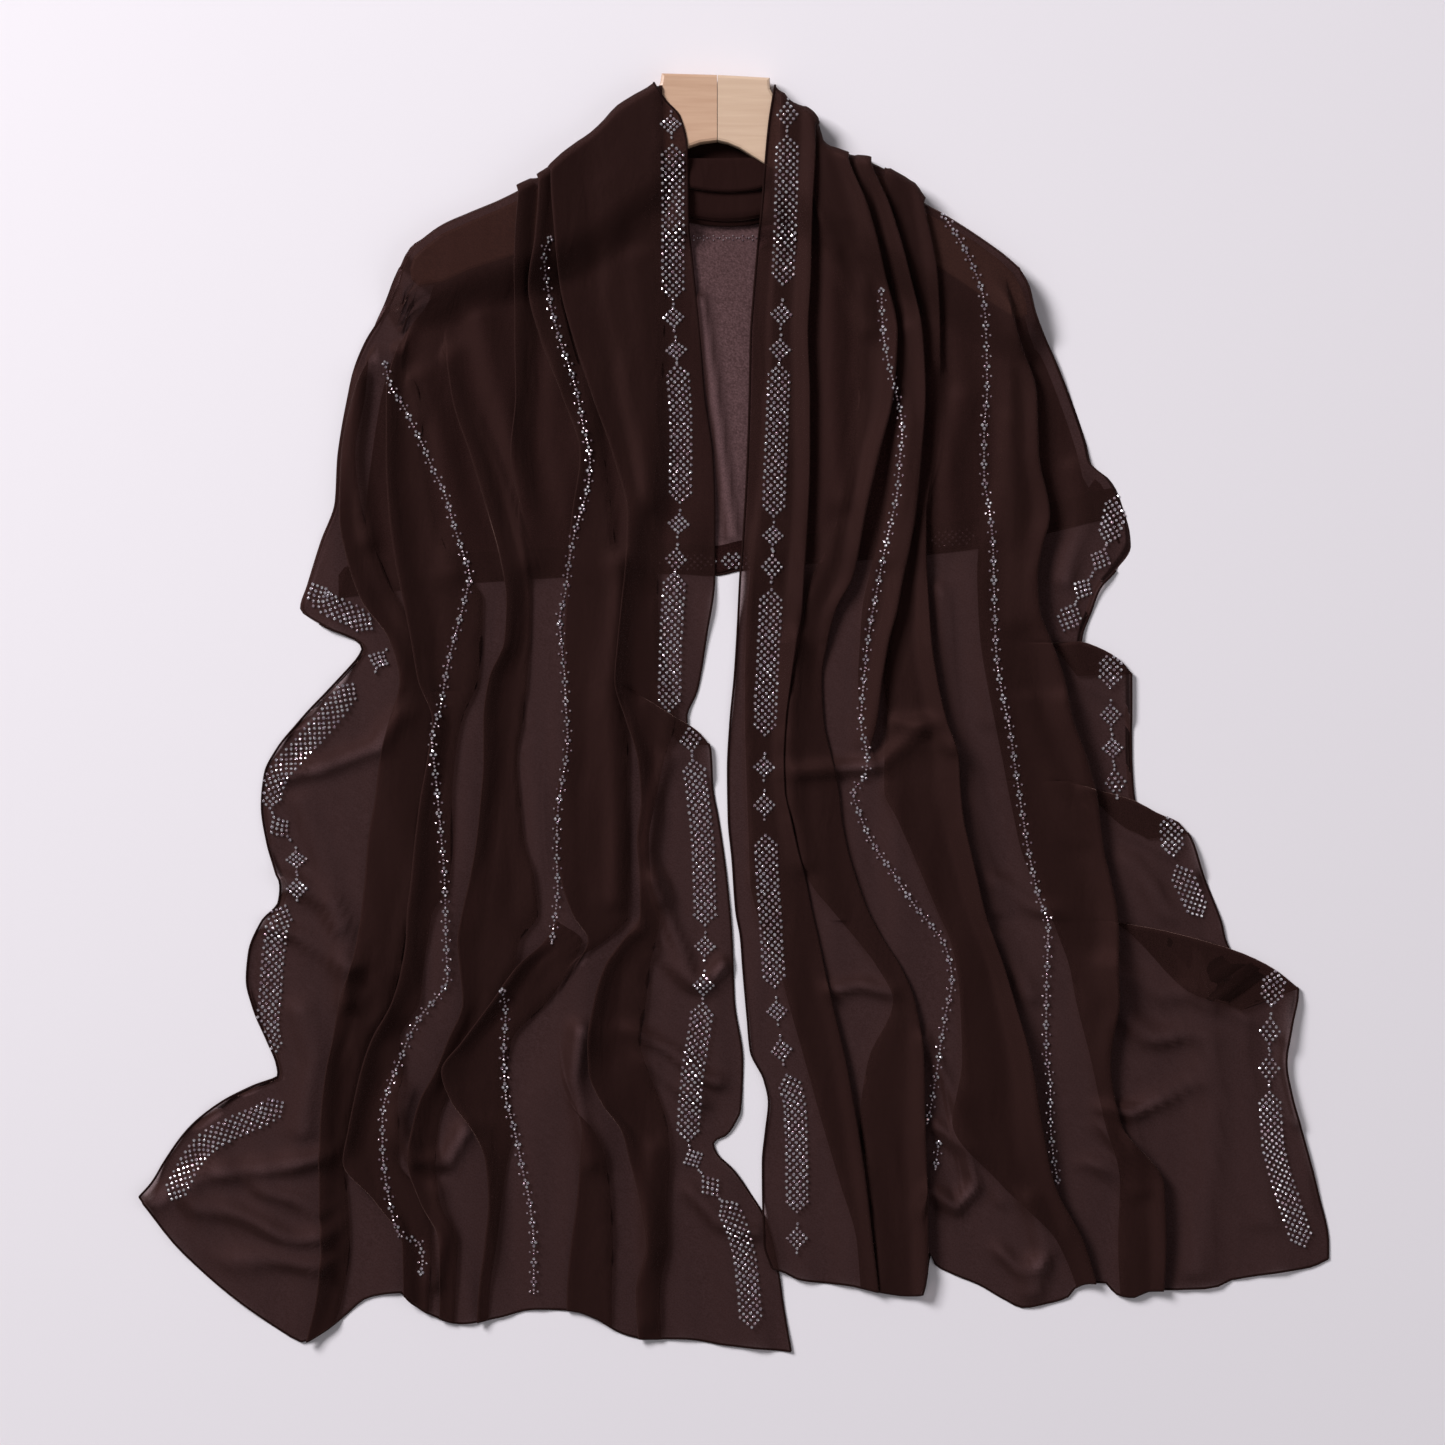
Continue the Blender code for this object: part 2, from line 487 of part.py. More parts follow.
def settle(points):
    """Raises the upper of two layers wherever their walls touch, until none do."""
    columns = points.shape[1]
    for _ in range(SETTLE_ROUNDS):
        bm = sheet(points)
        wall(bm)
        bmesh.ops.triangulate(bm, faces=bm.faces)
        cell = bm.faces.layers.int["cell"]
        corners = [{vert.index for vert in face.verts} for face in indexed(bm).faces]
        cells = [face[cell] - 1 for face in bm.faces]
        tree = BVHTree.FromBMesh(bm)
        raised = set()
        for a, b in tree.overlap(tree):
            if a < b and cells[a] >= 0 and cells[b] >= 0 and not corners[a] & corners[b]:
                if abs(cells[a] % columns - cells[b] % columns) > 1:
                    raised.add(min((cells[a] % columns, cells[a]), (cells[b] % columns, cells[b]))[1])
        bm.free()
        if not raised:
            break
        touched = {(at // columns + r, at % columns + c) for at in raised for r in (0, 1) for c in (0, 1)}
        for r, c in sorted(touched):
            if 1 < r and c < columns - 1:
                points[r, c, 2] += SETTLE_STEP
    return points


def wall(bm, thickness=WALL):
    """Gives a sheet its thickness, evenly on both sides, and keeps it on the table."""
    if sum(face.calc_area() * face.normal.z for face in face_normals(bm)) < 0:
        bmesh.ops.reverse_faces(bm, faces=bm.faces)
        bm.normal_update()
    half = thickness / 2 * MM
    offset = {v.index: v.normal * min(v.calc_shell_factor(), 1.5) * half for v in bm.verts}
    rim = [e for e in bm.edges if e.is_boundary]
    upper = list(bm.verts)
    copied = bmesh.ops.duplicate(bm, geom=bm.verts[:] + bm.edges[:] + bm.faces[:])
    below = copied["vert_map"]
    lower_faces = [f for f in copied["geom"] if isinstance(f, bmesh.types.BMFace)]
    bmesh.ops.reverse_faces(bm, faces=lower_faces)
    for edge in rim:
        loop = edge.link_loops[0]
        start, end = loop.vert, loop.link_loop_next.vert
        bm.faces.new((end, start, below[start], below[end]))
    for vert in upper:
        under = below[vert]
        under.co = under.co - offset[vert.index]
        vert.co = vert.co + offset[vert.index]
    for vert in bm.verts:
        vert.co.z = max(vert.co.z, 0.0)
    bm.normal_update()


def indexed(bm):
    bm.verts.index_update()
    bm.faces.index_update()
    return bm


def face_normals(bm):
    bm.normal_update()
    bm.verts.index_update()
    return bm.faces


def add_piece(name, bm, colour, flat=False):
    mesh = bpy.data.meshes.new(name)
    bm.to_mesh(mesh)
    bm.free()
    piece = bpy.data.objects.new(name, mesh)
    bpy.context.scene.collection.objects.link(piece)
    mesh.materials.append(material(colour))
    if not flat:
        mesh.shade_smooth()
    return piece


def make_end(side):
    bm = sheet(settle(End(side).grid()))
    wall(bm)
    return add_piece("front_" + side, bm, "front")


def make_back():
    """The stretch that lies on the table, inside the shoulder folds."""
    top = [(x, y) for y, x in LEFT_OUTER[11:0:-1]]
    top += list(LEFT_SHOULDER[:-2]) + [(-48, BACK_NECK_Y), (24, BACK_NECK_Y)] + list(RIGHT_SHOULDER[1:])
    top += [(x, y) for y, x in RIGHT_OUTER[1:11]]
    upper, lower = curve(dict(top).items()), curve(BACK_HEM)
    x = np.linspace(BACK_X[0], BACK_X[1], BACK_COLUMNS)
    slope = np.clip((upper(x + 1) - upper(x - 1)) / 2, -12, 12)
    high = np.min([upper(x + d) for d in (-8, -4, 0, 4, 8)], axis=0) - BACK_INSET * np.hypot(slope, 1)
    low = np.minimum(lower(x), high - 2.0)
    rows = [np.stack([x, high + (low - high) * share, np.full_like(x, MIDDLE)], axis=1)
            for share in BACK_ROWS]
    bm = sheet(np.array(rows))
    wall(bm)
    return add_piece("back_panel", bm, "back")


def make_gather():
    """The roll at the back of the neck: folded layers, and one that goes on under the hanger."""
    x = np.linspace(GATHER_X[0], GATHER_X[1], GATHER_COLUMNS)
    middle = (GATHER_X[0] + GATHER_X[1]) / 2
    half = (GATHER_X[1] - GATHER_X[0]) / 2
    bow = GATHER_BOW * (1 - ((x - middle) / half) ** 2)
    rows = []
    for y, layer in GATHER_FOLDS:
        sag = bow if y < 350 else 0 * bow
        z = MIDDLE + ON_BACK + PITCH * layer
        rows.append(np.stack([x, y - sag, np.full_like(x, z)], axis=1))
    bm = sheet(np.array(rows))
    wall(bm)
    return add_piece("neck_gather", bm, "neck")


def make_hanger(name, outline, colour):
    """Half of the hanger: its outline extruded, with its long edges rounded."""
    bm = bmesh.new()
    verts = [bm.verts.new((x * MM, y * MM, HANGER_UNDER * MM)) for x, y in outline]
    face = bm.faces.new(verts)
    bm.normal_update()
    if face.normal.z > 0:
        bmesh.ops.reverse_faces(bm, faces=[face])
    lifted = bmesh.ops.extrude_face_region(bm, geom=[face])
    top = [v for v in lifted["geom"] if isinstance(v, bmesh.types.BMVert)]
    bmesh.ops.translate(bm, verts=top, vec=(0, 0, HANGER_THICK * MM))
    bm.normal_update()
    long_edges = [e for e in bm.edges if abs(e.verts[0].co.z - e.verts[1].co.z) < 1e-6
                  and not all(abs(v.co.x / MM - SEAM_X) < 0.5 for v in e.verts)]
    bmesh.ops.bevel(bm, geom=long_edges, offset=HANGER_BEVEL * MM, segments=2, profile=0.5,
                    affect="EDGES", material=-1, clamp_overlap=True)
    bmesh.ops.recalc_face_normals(bm, faces=bm.faces)
    return add_piece(name, bm, colour)


clear_scene()
make_back()
make_gather()
make_hanger("hanger_left", HANGER_LEFT, "beech")
make_hanger("hanger_right", HANGER_RIGHT, "maple")
make_end("left")
make_end("right")
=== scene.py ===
"""A dark brown chiffon scarf laid flat round a wooden hanger, its ends folded over the arms in front.

Heights and plan positions are in millimetres, as a maker would draw them; MM turns them into metres.
Places read from the picture are in its own pixels, and PIXEL turns those into millimetres.
"""
import math
import bpy
import bmesh
import numpy as np
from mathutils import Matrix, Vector
from mathutils.bvhtree import BVHTree


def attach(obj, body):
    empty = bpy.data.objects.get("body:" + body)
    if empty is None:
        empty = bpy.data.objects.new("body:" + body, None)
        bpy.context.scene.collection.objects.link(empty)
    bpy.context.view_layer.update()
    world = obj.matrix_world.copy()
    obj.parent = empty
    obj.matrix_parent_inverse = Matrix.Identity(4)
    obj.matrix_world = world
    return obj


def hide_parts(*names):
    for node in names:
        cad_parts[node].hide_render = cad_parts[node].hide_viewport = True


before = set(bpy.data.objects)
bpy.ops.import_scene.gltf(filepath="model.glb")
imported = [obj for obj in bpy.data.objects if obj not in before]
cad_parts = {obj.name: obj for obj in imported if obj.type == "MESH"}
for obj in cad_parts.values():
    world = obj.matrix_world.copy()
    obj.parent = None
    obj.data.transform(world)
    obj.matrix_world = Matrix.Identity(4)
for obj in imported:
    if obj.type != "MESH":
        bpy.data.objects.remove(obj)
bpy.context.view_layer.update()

MM = 0.001
PIXEL = 0.66
PICTURE_MIDDLE = (734.0, 713.0)

# Cloth: rise from one layer's middle to the next, and heights of what it lies on
LAYER = 1.1
FLOOR_LEVEL = 0.5
ON_BACK = 0.9
HANGER_TOP = 14.6
TENT_TOP = HANGER_TOP + 0.7
TENT_MARGIN = 2.0
TENT_FALL = 30.0
ROLL_X = (-34.0, 23.5)
ROLL_Y = (324.0, 358.0)
ROLL_TOP = 11.5
ROLL_FALL = 16.0
STEEPEST = 0.85
FOLD_FADE = 4.0
LEAST_FOLD = 0.6
SIDE_ROUND = 2.2
SHOULDER_ROUND = 2.5
SHOULDER_LIFT = 3.0

# Turn of a fold's lip: how far it is pulled in, as a share of its height and at the most
LIP_SHARE = 0.45
LIP_MOST = 3.0

# How the cloth rises over the back's hem and the neck roll, and the share of its creases that the
# hanger smooths out
BACK_EDGE_REACH = 6.0
BACK_EDGE_EASE = 8.0
ROLL_MARGIN = 1.5
TENT_SMOOTHS = 0.75

# Where the right end's lower corner lies on the left end: its rise, reach, ease and top (y)
OVERLAP_RISE = 2.2
OVERLAP_REACH = 8.0
OVERLAP_EASE = 6.0
OVERLAP_TOP = -300.0
OVERLAP_TOP_EASE = 8.0

# Shoulder lines: x, y along the fold from the neck to the arm's tip
LEFT_SHOULDER = (
    (-218, 293), (-216, 301.5), (-204, 312.5), (-192, 321), (-174, 329), (-156, 336.5),
    (-137, 346), (-123, 354), (-110, 366), (-101, 373), (-86, 386), (-76, 397),
    (-65, 404), (-56, 409), (-52, 412))
RIGHT_SHOULDER = (
    (27, 412.5), (36, 400.5), (48, 394.5), (53, 388.5), (56, 376), (65, 369), (76, 364.5),
    (90, 361.5), (105, 354), (117, 346), (123, 337), (138, 328), (160, 314), (177.5, 301.5),
    (188, 292.5))

# Lower hems of the two ends: x, y
LEFT_FOOT = (
    (-392, -319), (-381, -335), (-363, -356), (-338, -379), (-314, -397), (-296, -409),
    (-285, -414.5), (-271, -408), (-259, -399), (-241, -385), (-220, -382), (-212, -389),
    (-201, -396), (-180, -402.5), (-156, -398.5), (-131, -393), (-107, -394), (-89, -400),
    (-74, -409), (-59, -412.5), (-34, -412.5), (-7, -416.5), (37.5, -421))
RIGHT_FOOT = (
    (25, -366), (32, -368), (42, -373), (53, -375), (74, -377), (96, -381.5), (114, -384),
    (124, -383), (127.5, -366), (129.5, -356), (133, -363.5), (144, -369.5), (162, -377),
    (177.5, -386), (191, -392), (205, -389.5), (220, -385), (225, -379), (235, -375.5),
    (245, -375.5), (252, -383), (263, -385), (272, -381), (290, -380), (315, -379),
    (327, -374), (357, -369), (381, -365), (392, -360))

# Lines across an end where it is tucked under itself: x, y
LEFT_TUCK = ((-392, 14), (-115, 14), (-77, 18), (-59, 10), (-37, -3.5), (-29, -8), (-22.5, -13),
             (-16, -21))
RIGHT_TUCK_1 = ((0, 46), (208, 46), (229, 47.5), (235.5, 45.5), (247.5, 40), (256.5, 33.5), (262, 26.5))
RIGHT_TUCK_2 = ((0, -45), (215, -45), (241.5, -51), (264, -57.5), (281, -66.5), (293, -71.5), (299.5, -79))
RIGHT_TUCK_3 = ((0, -137), (241.5, -137), (266, -140), (326.5, -155), (342, -161), (357, -169), (372, -181))

# Hems along the inner side of each end, from the neck down: y, x
LEFT_INNER = (
    (412, -52), (402, -45), (392, -36), (370, -31), (330, -30.5), (290, -27), (250, -23),
    (210, -20), (170, -14.5), (130, -13), (90, -13), (50, -18.5), (15, -24.5), (-3, -31.5),
    (-9, -30), (-14, -22), (-21, -16), (-51, -14), (-70, -10.5), (-110, -5), (-150, -1.5),
    (-190, 0), (-230, 5.5), (-262, 4), (-270, 0.5), (-278, -5), (-283, -14), (-290, -12),
    (-301, -1), (-318, 11), (-331, 19), (-345, 24), (-371, 29.5), (-392, 32.5), (-421, 37.5))
RIGHT_INNER = (
    (412.5, 27), (387, 23), (360, 20.5), (334, 18.5), (315, 16.5), (276, 13), (247, 11),
    (218, 10.5), (168, 9), (114, 6), (88, 4), (57, 2.5), (25, 0.5), (-7, -2.5), (-38, -4),
    (-70, -3.5), (-97, -1), (-131, 1.5), (-148, 4.5), (-168, 6), (-202, 9), (-223, 11),
    (-242, 20), (-257, 23), (-276, 21), (-297, 19), (-350, 20), (-366, 25))

# Outer side of each end, from the arm's tip down: y, x, and where its fold ends and its hem begins
LEFT_OUTER = (
    (293, -218), (279, -223), (261, -233.5), (244, -244), (227, -251), (205, -256), (183, -260),
    (168, -262), (140, -263.5), (113, -273), (84, -282), (69, -286.5), (57, -270), (48, -249),
    (43, -245), (38, -247), (30, -253.5), (-6, -287), (-24, -301.5), (-40, -309.5), (-61, -311.5),
    (-85, -308), (-106, -301.5), (-112, -299), (-125, -300.5), (-137, -311), (-158, -320),
    (-176, -321.5), (-195, -317), (-216, -308), (-232, -301.5), (-239, -300.5), (-246, -317),
    (-257, -338.5), (-274, -359.5), (-295, -375), (-310, -384), (-319, -392))
RIGHT_OUTER = (
    (292, 188), (280, 194.5), (264, 198.5), (236, 211), (206, 223), (178, 232.5), (163, 236.5),
    (157, 245), (148, 252), (136, 256.5), (117.5, 261.5), (110, 262), (93, 251), (82.5, 241.5),
    (67, 235.5), (47.5, 229), (45.5, 235.5), (40, 247.5), (33.5, 256.5), (26.5, 262), (-17, 262),
    (-57, 264), (-66.5, 281), (-71.5, 293), (-79, 299.5), (-106, 309), (-137, 321), (-155, 326.5),
    (-161, 342), (-169, 357), (-181, 372), (-187, 371.5), (-206, 367.5), (-231, 364), (-252, 367.5),
    (-280, 375.5), (-316, 385), (-350, 392), (-360, 392))
LEFT_FOLD_ENDS = 60.0
RIGHT_FOLD_ENDS = 95.0

# Pleats in picture pixels: for each section, where each fold's visible lip and hidden root lie.
# Where the root lies before the lip, the fold is open and the cloth goes on flat.
LEFT_PLEATS = (
    # y, lip 1, root 1, lip 2, root 2, lip 3, root 3, lip 4, root 4, lip 5, root 5, lip 6, root 6
    (60, 554, 662, 541, 566, 517, 531, 479, 472, 437, 430, 418, 411),
    (180, 552, 664, 540, 568, 520, 535, 476, 469, 437, 430, 418, 411),
    (240, 556, 665, 536, 566, 516, 532, 470, 463, 434, 427, 417, 410),
    (290, 561, 666, 529, 562, 515, 532, 460, 453, 420, 413, 398, 391),
    (340, 574, 664, 541, 572, 515, 534, 446, 441, 400, 394, 378, 371),
    (395, 592, 662, 562, 590, 516, 534, 452, 470, 387, 420, 354, 366),
    (455, 613, 660, 580, 604, 511, 526, 471, 498, 387, 425, 342, 356),
    (515, 627, 658, 572, 612, 524, 519, 489, 518, 390, 435, 340, 364),
    (560, 626, 658, 568, 618, 540, 534, 501, 527, 396, 452, 348, 380),
    (600, 622, 658, 566, 628, 548, 542, 507, 531, 404, 483, 362, 398),
    (640, 618, 660, 564, 628, 548, 542, 505, 530, 412, 482, 390, 424),
    (680, 615, 668, 565, 628, 548, 542, 489, 527, 419, 478, 400, 438),
    (720, 626, 675, 566, 627, 546, 540, 484, 523, 433, 462, 390, 436),
    (760, 638, 664, 564, 628, 544, 538, 484, 517, 428, 455, 380, 432),
    (800, 641, 656, 556, 627, 543, 537, 481, 520, 421, 452, 375, 426),
    (840, 637, 649, 555, 627, 545, 539, 477, 524, 416, 452, 368, 422),
    (880, 640, 651, 561, 628, 549, 543, 470, 535, 412, 450, 365, 418),
    (915, 640, 660, 573, 628, 557, 551, 462, 538, 408, 432, 361, 412),
    (940, 622, 656, 588, 606, 545, 582, 458, 520, 407, 428, 357, 405),
    (965, 605, 650, 576, 570, 518, 572, 460, 515, 403, 424, 352, 402),
    (1001, 594, 646, 562, 556, 492, 548, 463, 497, 393, 420, 340, 392),
    (1040, 588, 640, 560, 554, 463, 512, 448, 482, 372, 400, 333, 370),
    (1070, 589, 648, 564, 558, 442, 507, 436, 466, 362, 404, 327, 360),
    (1100, 601, 660, 574, 568, 452, 510, 420, 446, 355, 398, 323, 354),
    (1130, 622, 668, 582, 594, 474, 514, 412, 438, 349, 400, 321, 350),
    (1160, 630, 670, 580, 606, 486, 508, 408, 436, 344, 398, 320, 344),
    (1200, 640, 668, 577, 611, 489, 502, 420, 440, 376, 428, 320, 348),
    (1243, 646, 668, 571, 613, 485, 497, 440, 458, 403, 432, 322, 350),
    (1290, 636, 660, 567, 612, 479, 490, 440, 456, 404, 430, 318, 344),
    (1365, 640, 662, 566, 612, 475, 486, 438, 452, 402, 426, 300, 322))
RIGHT_PLEATS = (
    # y, lip 1, root 1, lip 2, root 2, lip 3, root 3, lip 4, root 4, lip 5, root 5
    (60, 814, 782, 840, 812, 862, 836, 908, 880, 998, 1004),
    (150, 815, 779, 845, 812, 866, 838, 910, 882, 998, 1004),
    (213, 812, 776, 868, 816, 890, 852, 924, 890, 998, 1004),
    (274, 811, 773, 884, 838, 908, 870, 936, 908, 1003, 1009),
    (334, 808, 770, 897, 856, 922, 888, 940, 930, 1016, 1010),
    (395, 810, 767, 893, 858, 925, 890, 940, 946, 1036, 1008),
    (455, 810, 764, 879, 852, 921, 894, 935, 941, 1038, 1000),
    (516, 808, 758, 865, 838, 915, 886, 926, 920, 1049, 990),
    (550, 806, 752, 859, 826, 909, 876, 926, 905, 1041, 978),
    (577, 804, 750, 853, 812, 903, 869, 927, 897, 1037, 977),
    (610, 802, 747, 836, 804, 897, 862, 929, 893, 1039, 978),
    (640, 797, 746, 828, 799, 889, 860, 931, 889, 1050, 980),
    (680, 791, 745, 822, 793, 882, 858, 937, 884, 1064, 986),
    (720, 786, 745, 824, 789, 877, 860, 946, 888, 1072, 994),
    (758, 784, 746, 832, 787, 868, 874, 958, 884, 1086, 1002),
    (790, 785, 747, 839, 789, 862, 868, 960, 884, 1095, 1008),
    (819, 791, 748, 842, 793, 872, 878, 963, 897, 1099, 1014),
    (850, 798, 749, 848, 800, 888, 894, 970, 911, 1103, 1021),
    (880, 806, 750, 857, 809, 900, 906, 977, 924, 1110, 1033),
    (910, 812, 756, 868, 832, 916, 922, 984, 937, 1116, 1048),
    (940, 819, 766, 884, 857, 930, 936, 994, 950, 1118, 1060),
    (965, 824, 778, 900, 876, 938, 944, 1003, 956, 1117, 1069),
    (1001, 832, 788, 915, 893, 938, 944, 1014, 960, 1118, 1076),
    (1061, 846, 805, 924, 868, 937, 943, 1031, 962, 1110, 1091),
    (1122, 857, 822, 925, 860, 945, 951, 1041, 952, 1120, 1104),
    (1183, 866, 840, 927, 868, 956, 962, 1054, 1000, 1163, 1120),
    (1243, 873, 857, 928, 874, 962, 968, 1084, 1058, 1165, 1118),
    (1365, 888, 864, 926, 882, 974, 980, 1116, 1100, 1158, 1126))

# Height in millimetres of the soft roll along each fold's lip, by picture row
LEFT_ROLLS = (
    # y, fold 1, fold 2, fold 3, fold 4, fold 5, fold 6
    (60, 5.0, 4.0, 4.0, 1.0, 1.0, 1.0),
    (300, 8.5, 7.0, 6.0, 4.0, 4.0, 2.5),
    (480, 8.5, 4.0, 2.5, 8.0, 7.5, 4.0),
    (600, 7.5, 0.3, 0.0, 8.0, 6.5, 5.0),
    (760, 6.5, 0.3, 0.0, 7.5, 8.0, 0.8),
    (900, 5.0, 0.3, 0.0, 6.0, 8.0, 0.8),
    (1000, 8.0, 0.3, 8.0, 4.5, 8.0, 5.0),
    (1100, 8.0, 0.5, 8.0, 5.5, 8.0, 6.5),
    (1240, 6.0, 1.0, 5.5, 3.0, 6.5, 6.5),
    (1340, 3.0, 0.5, 2.5, 1.5, 3.0, 3.5))
RIGHT_ROLLS = (
    # y, fold 1, fold 2, fold 3, fold 4, fold 5
    (60, 3.0, 3.5, 3.5, 2.5, 1.0),
    (300, 6.5, 8.0, 8.0, 4.0, 4.0),
    (450, 6.5, 8.0, 8.0, 3.0, 6.5),
    (600, 5.0, 5.0, 8.0, 6.0, 7.5),
    (700, 2.5, 1.0, 7.5, 7.5, 7.5),
    (800, 1.2, 0.5, 0.0, 7.5, 6.5),
    (900, 1.2, 0.5, 0.0, 7.5, 6.5),
    (1000, 3.0, 3.0, 0.0, 7.5, 6.5),
    (1100, 4.5, 6.5, 0.0, 8.0, 4.5),
    (1240, 4.0, 6.0, 0.0, 6.0, 6.0),
    (1340, 2.0, 3.0, 0.0, 3.0, 3.0))

# Lower hem of the back stretch: x, y
BACK_HEM = ((-287, 73), (-234, 80), (-181, 86), (-39, 92.5), (-12.5, 91), (4.5, 94.5), (126, 105),
            (162, 109.5), (202, 118), (238, 127), (259, 131))

# Hanger outline, one half each: x, y from the glued seam round to the seam again
HANGER_LEFT = (
    (-11.2, 419.4), (-47.5, 420.4), (-48.5, 414), (-52.5, 405), (-61, 399.5), (-74, 391.5), (-85, 380.5),
    (-100, 368), (-118, 353.5), (-136, 340), (-156, 330.5), (-174, 323), (-192, 315), (-204, 306),
    (-211, 299), (-213, 292), (-212, 285), (-207, 280.5), (-190, 283.5), (-174, 291), (-128, 305.5),
    (-95, 323), (-60, 349), (-31, 371.5), (-22, 374.6), (-11.2, 376))
HANGER_RIGHT = (
    (-10.8, 376), (-4, 374.4), (4, 371), (19, 361.5), (50, 343), (90, 318), (139, 290), (180, 262),
    (188, 259.5), (192.5, 262), (192.5, 268), (189, 279), (183, 289.5), (174, 298), (158, 310),
    (136, 323.5), (119, 332), (113, 341), (103, 349), (90, 356.5), (76, 359), (63, 364), (52, 372),
    (49, 383), (46, 389), (35, 394), (30, 399.5), (24, 410), (23.5, 417.5), (-10.8, 419.4))


def smooth(value):
    """Soft step from 0 to 1."""
    t = np.clip(value, 0.0, 1.0)
    return t * t * (3 - 2 * t)


def curve(points):
    """A smooth curve through points of rising or falling first value, with no overshoot."""
    table = np.array(sorted(points), dtype=float)
    at, value = table[:, 0], table[:, 1]
    step = np.diff(at)
    rise = np.diff(value) / step
    lean = np.zeros(len(at))
    lean[0], lean[-1] = rise[0], rise[-1]
    for i in range(1, len(at) - 1):
        if rise[i - 1] * rise[i] > 0:
            before, after = 2 * step[i] + step[i - 1], step[i] + 2 * step[i - 1]
            lean[i] = (before + after) / (before / rise[i - 1] + after / rise[i])

    def read(where):
        where = np.clip(where, at[0], at[-1])
        i = np.clip(np.searchsorted(at, where) - 1, 0, len(at) - 2)
        h = step[i]
        t = (where - at[i]) / h
        return ((1 + 2 * t) * (1 - t) ** 2 * value[i] + t * (1 - t) ** 2 * h * lean[i]
                + t * t * (3 - 2 * t) * value[i + 1] + t * t * (t - 1) * h * lean[i + 1])
    return read


def outline_distance(x, y, outline):
    """Distance from each place to a closed outline, 0 inside it."""
    ring = np.array(outline, dtype=float)
    ends = np.roll(ring, -1, axis=0)
    nearest = np.full(np.shape(x), 1e9)
    inside = np.zeros(np.shape(x), dtype=bool)
    for (ax, ay), (bx, by) in zip(ring, ends):
        dx, dy = bx - ax, by - ay
        t = np.clip(((x - ax) * dx + (y - ay) * dy) / (dx * dx + dy * dy), 0, 1)
        nearest = np.minimum(nearest, np.hypot(x - ax - t * dx, y - ay - t * dy))
        crosses = (ay > y) != (by > y)
        level = ax + (y - ay) * dx / (dy if dy else 1e-9)
        inside ^= crosses & (x < level)
    return np.where(inside, 0.0, nearest)


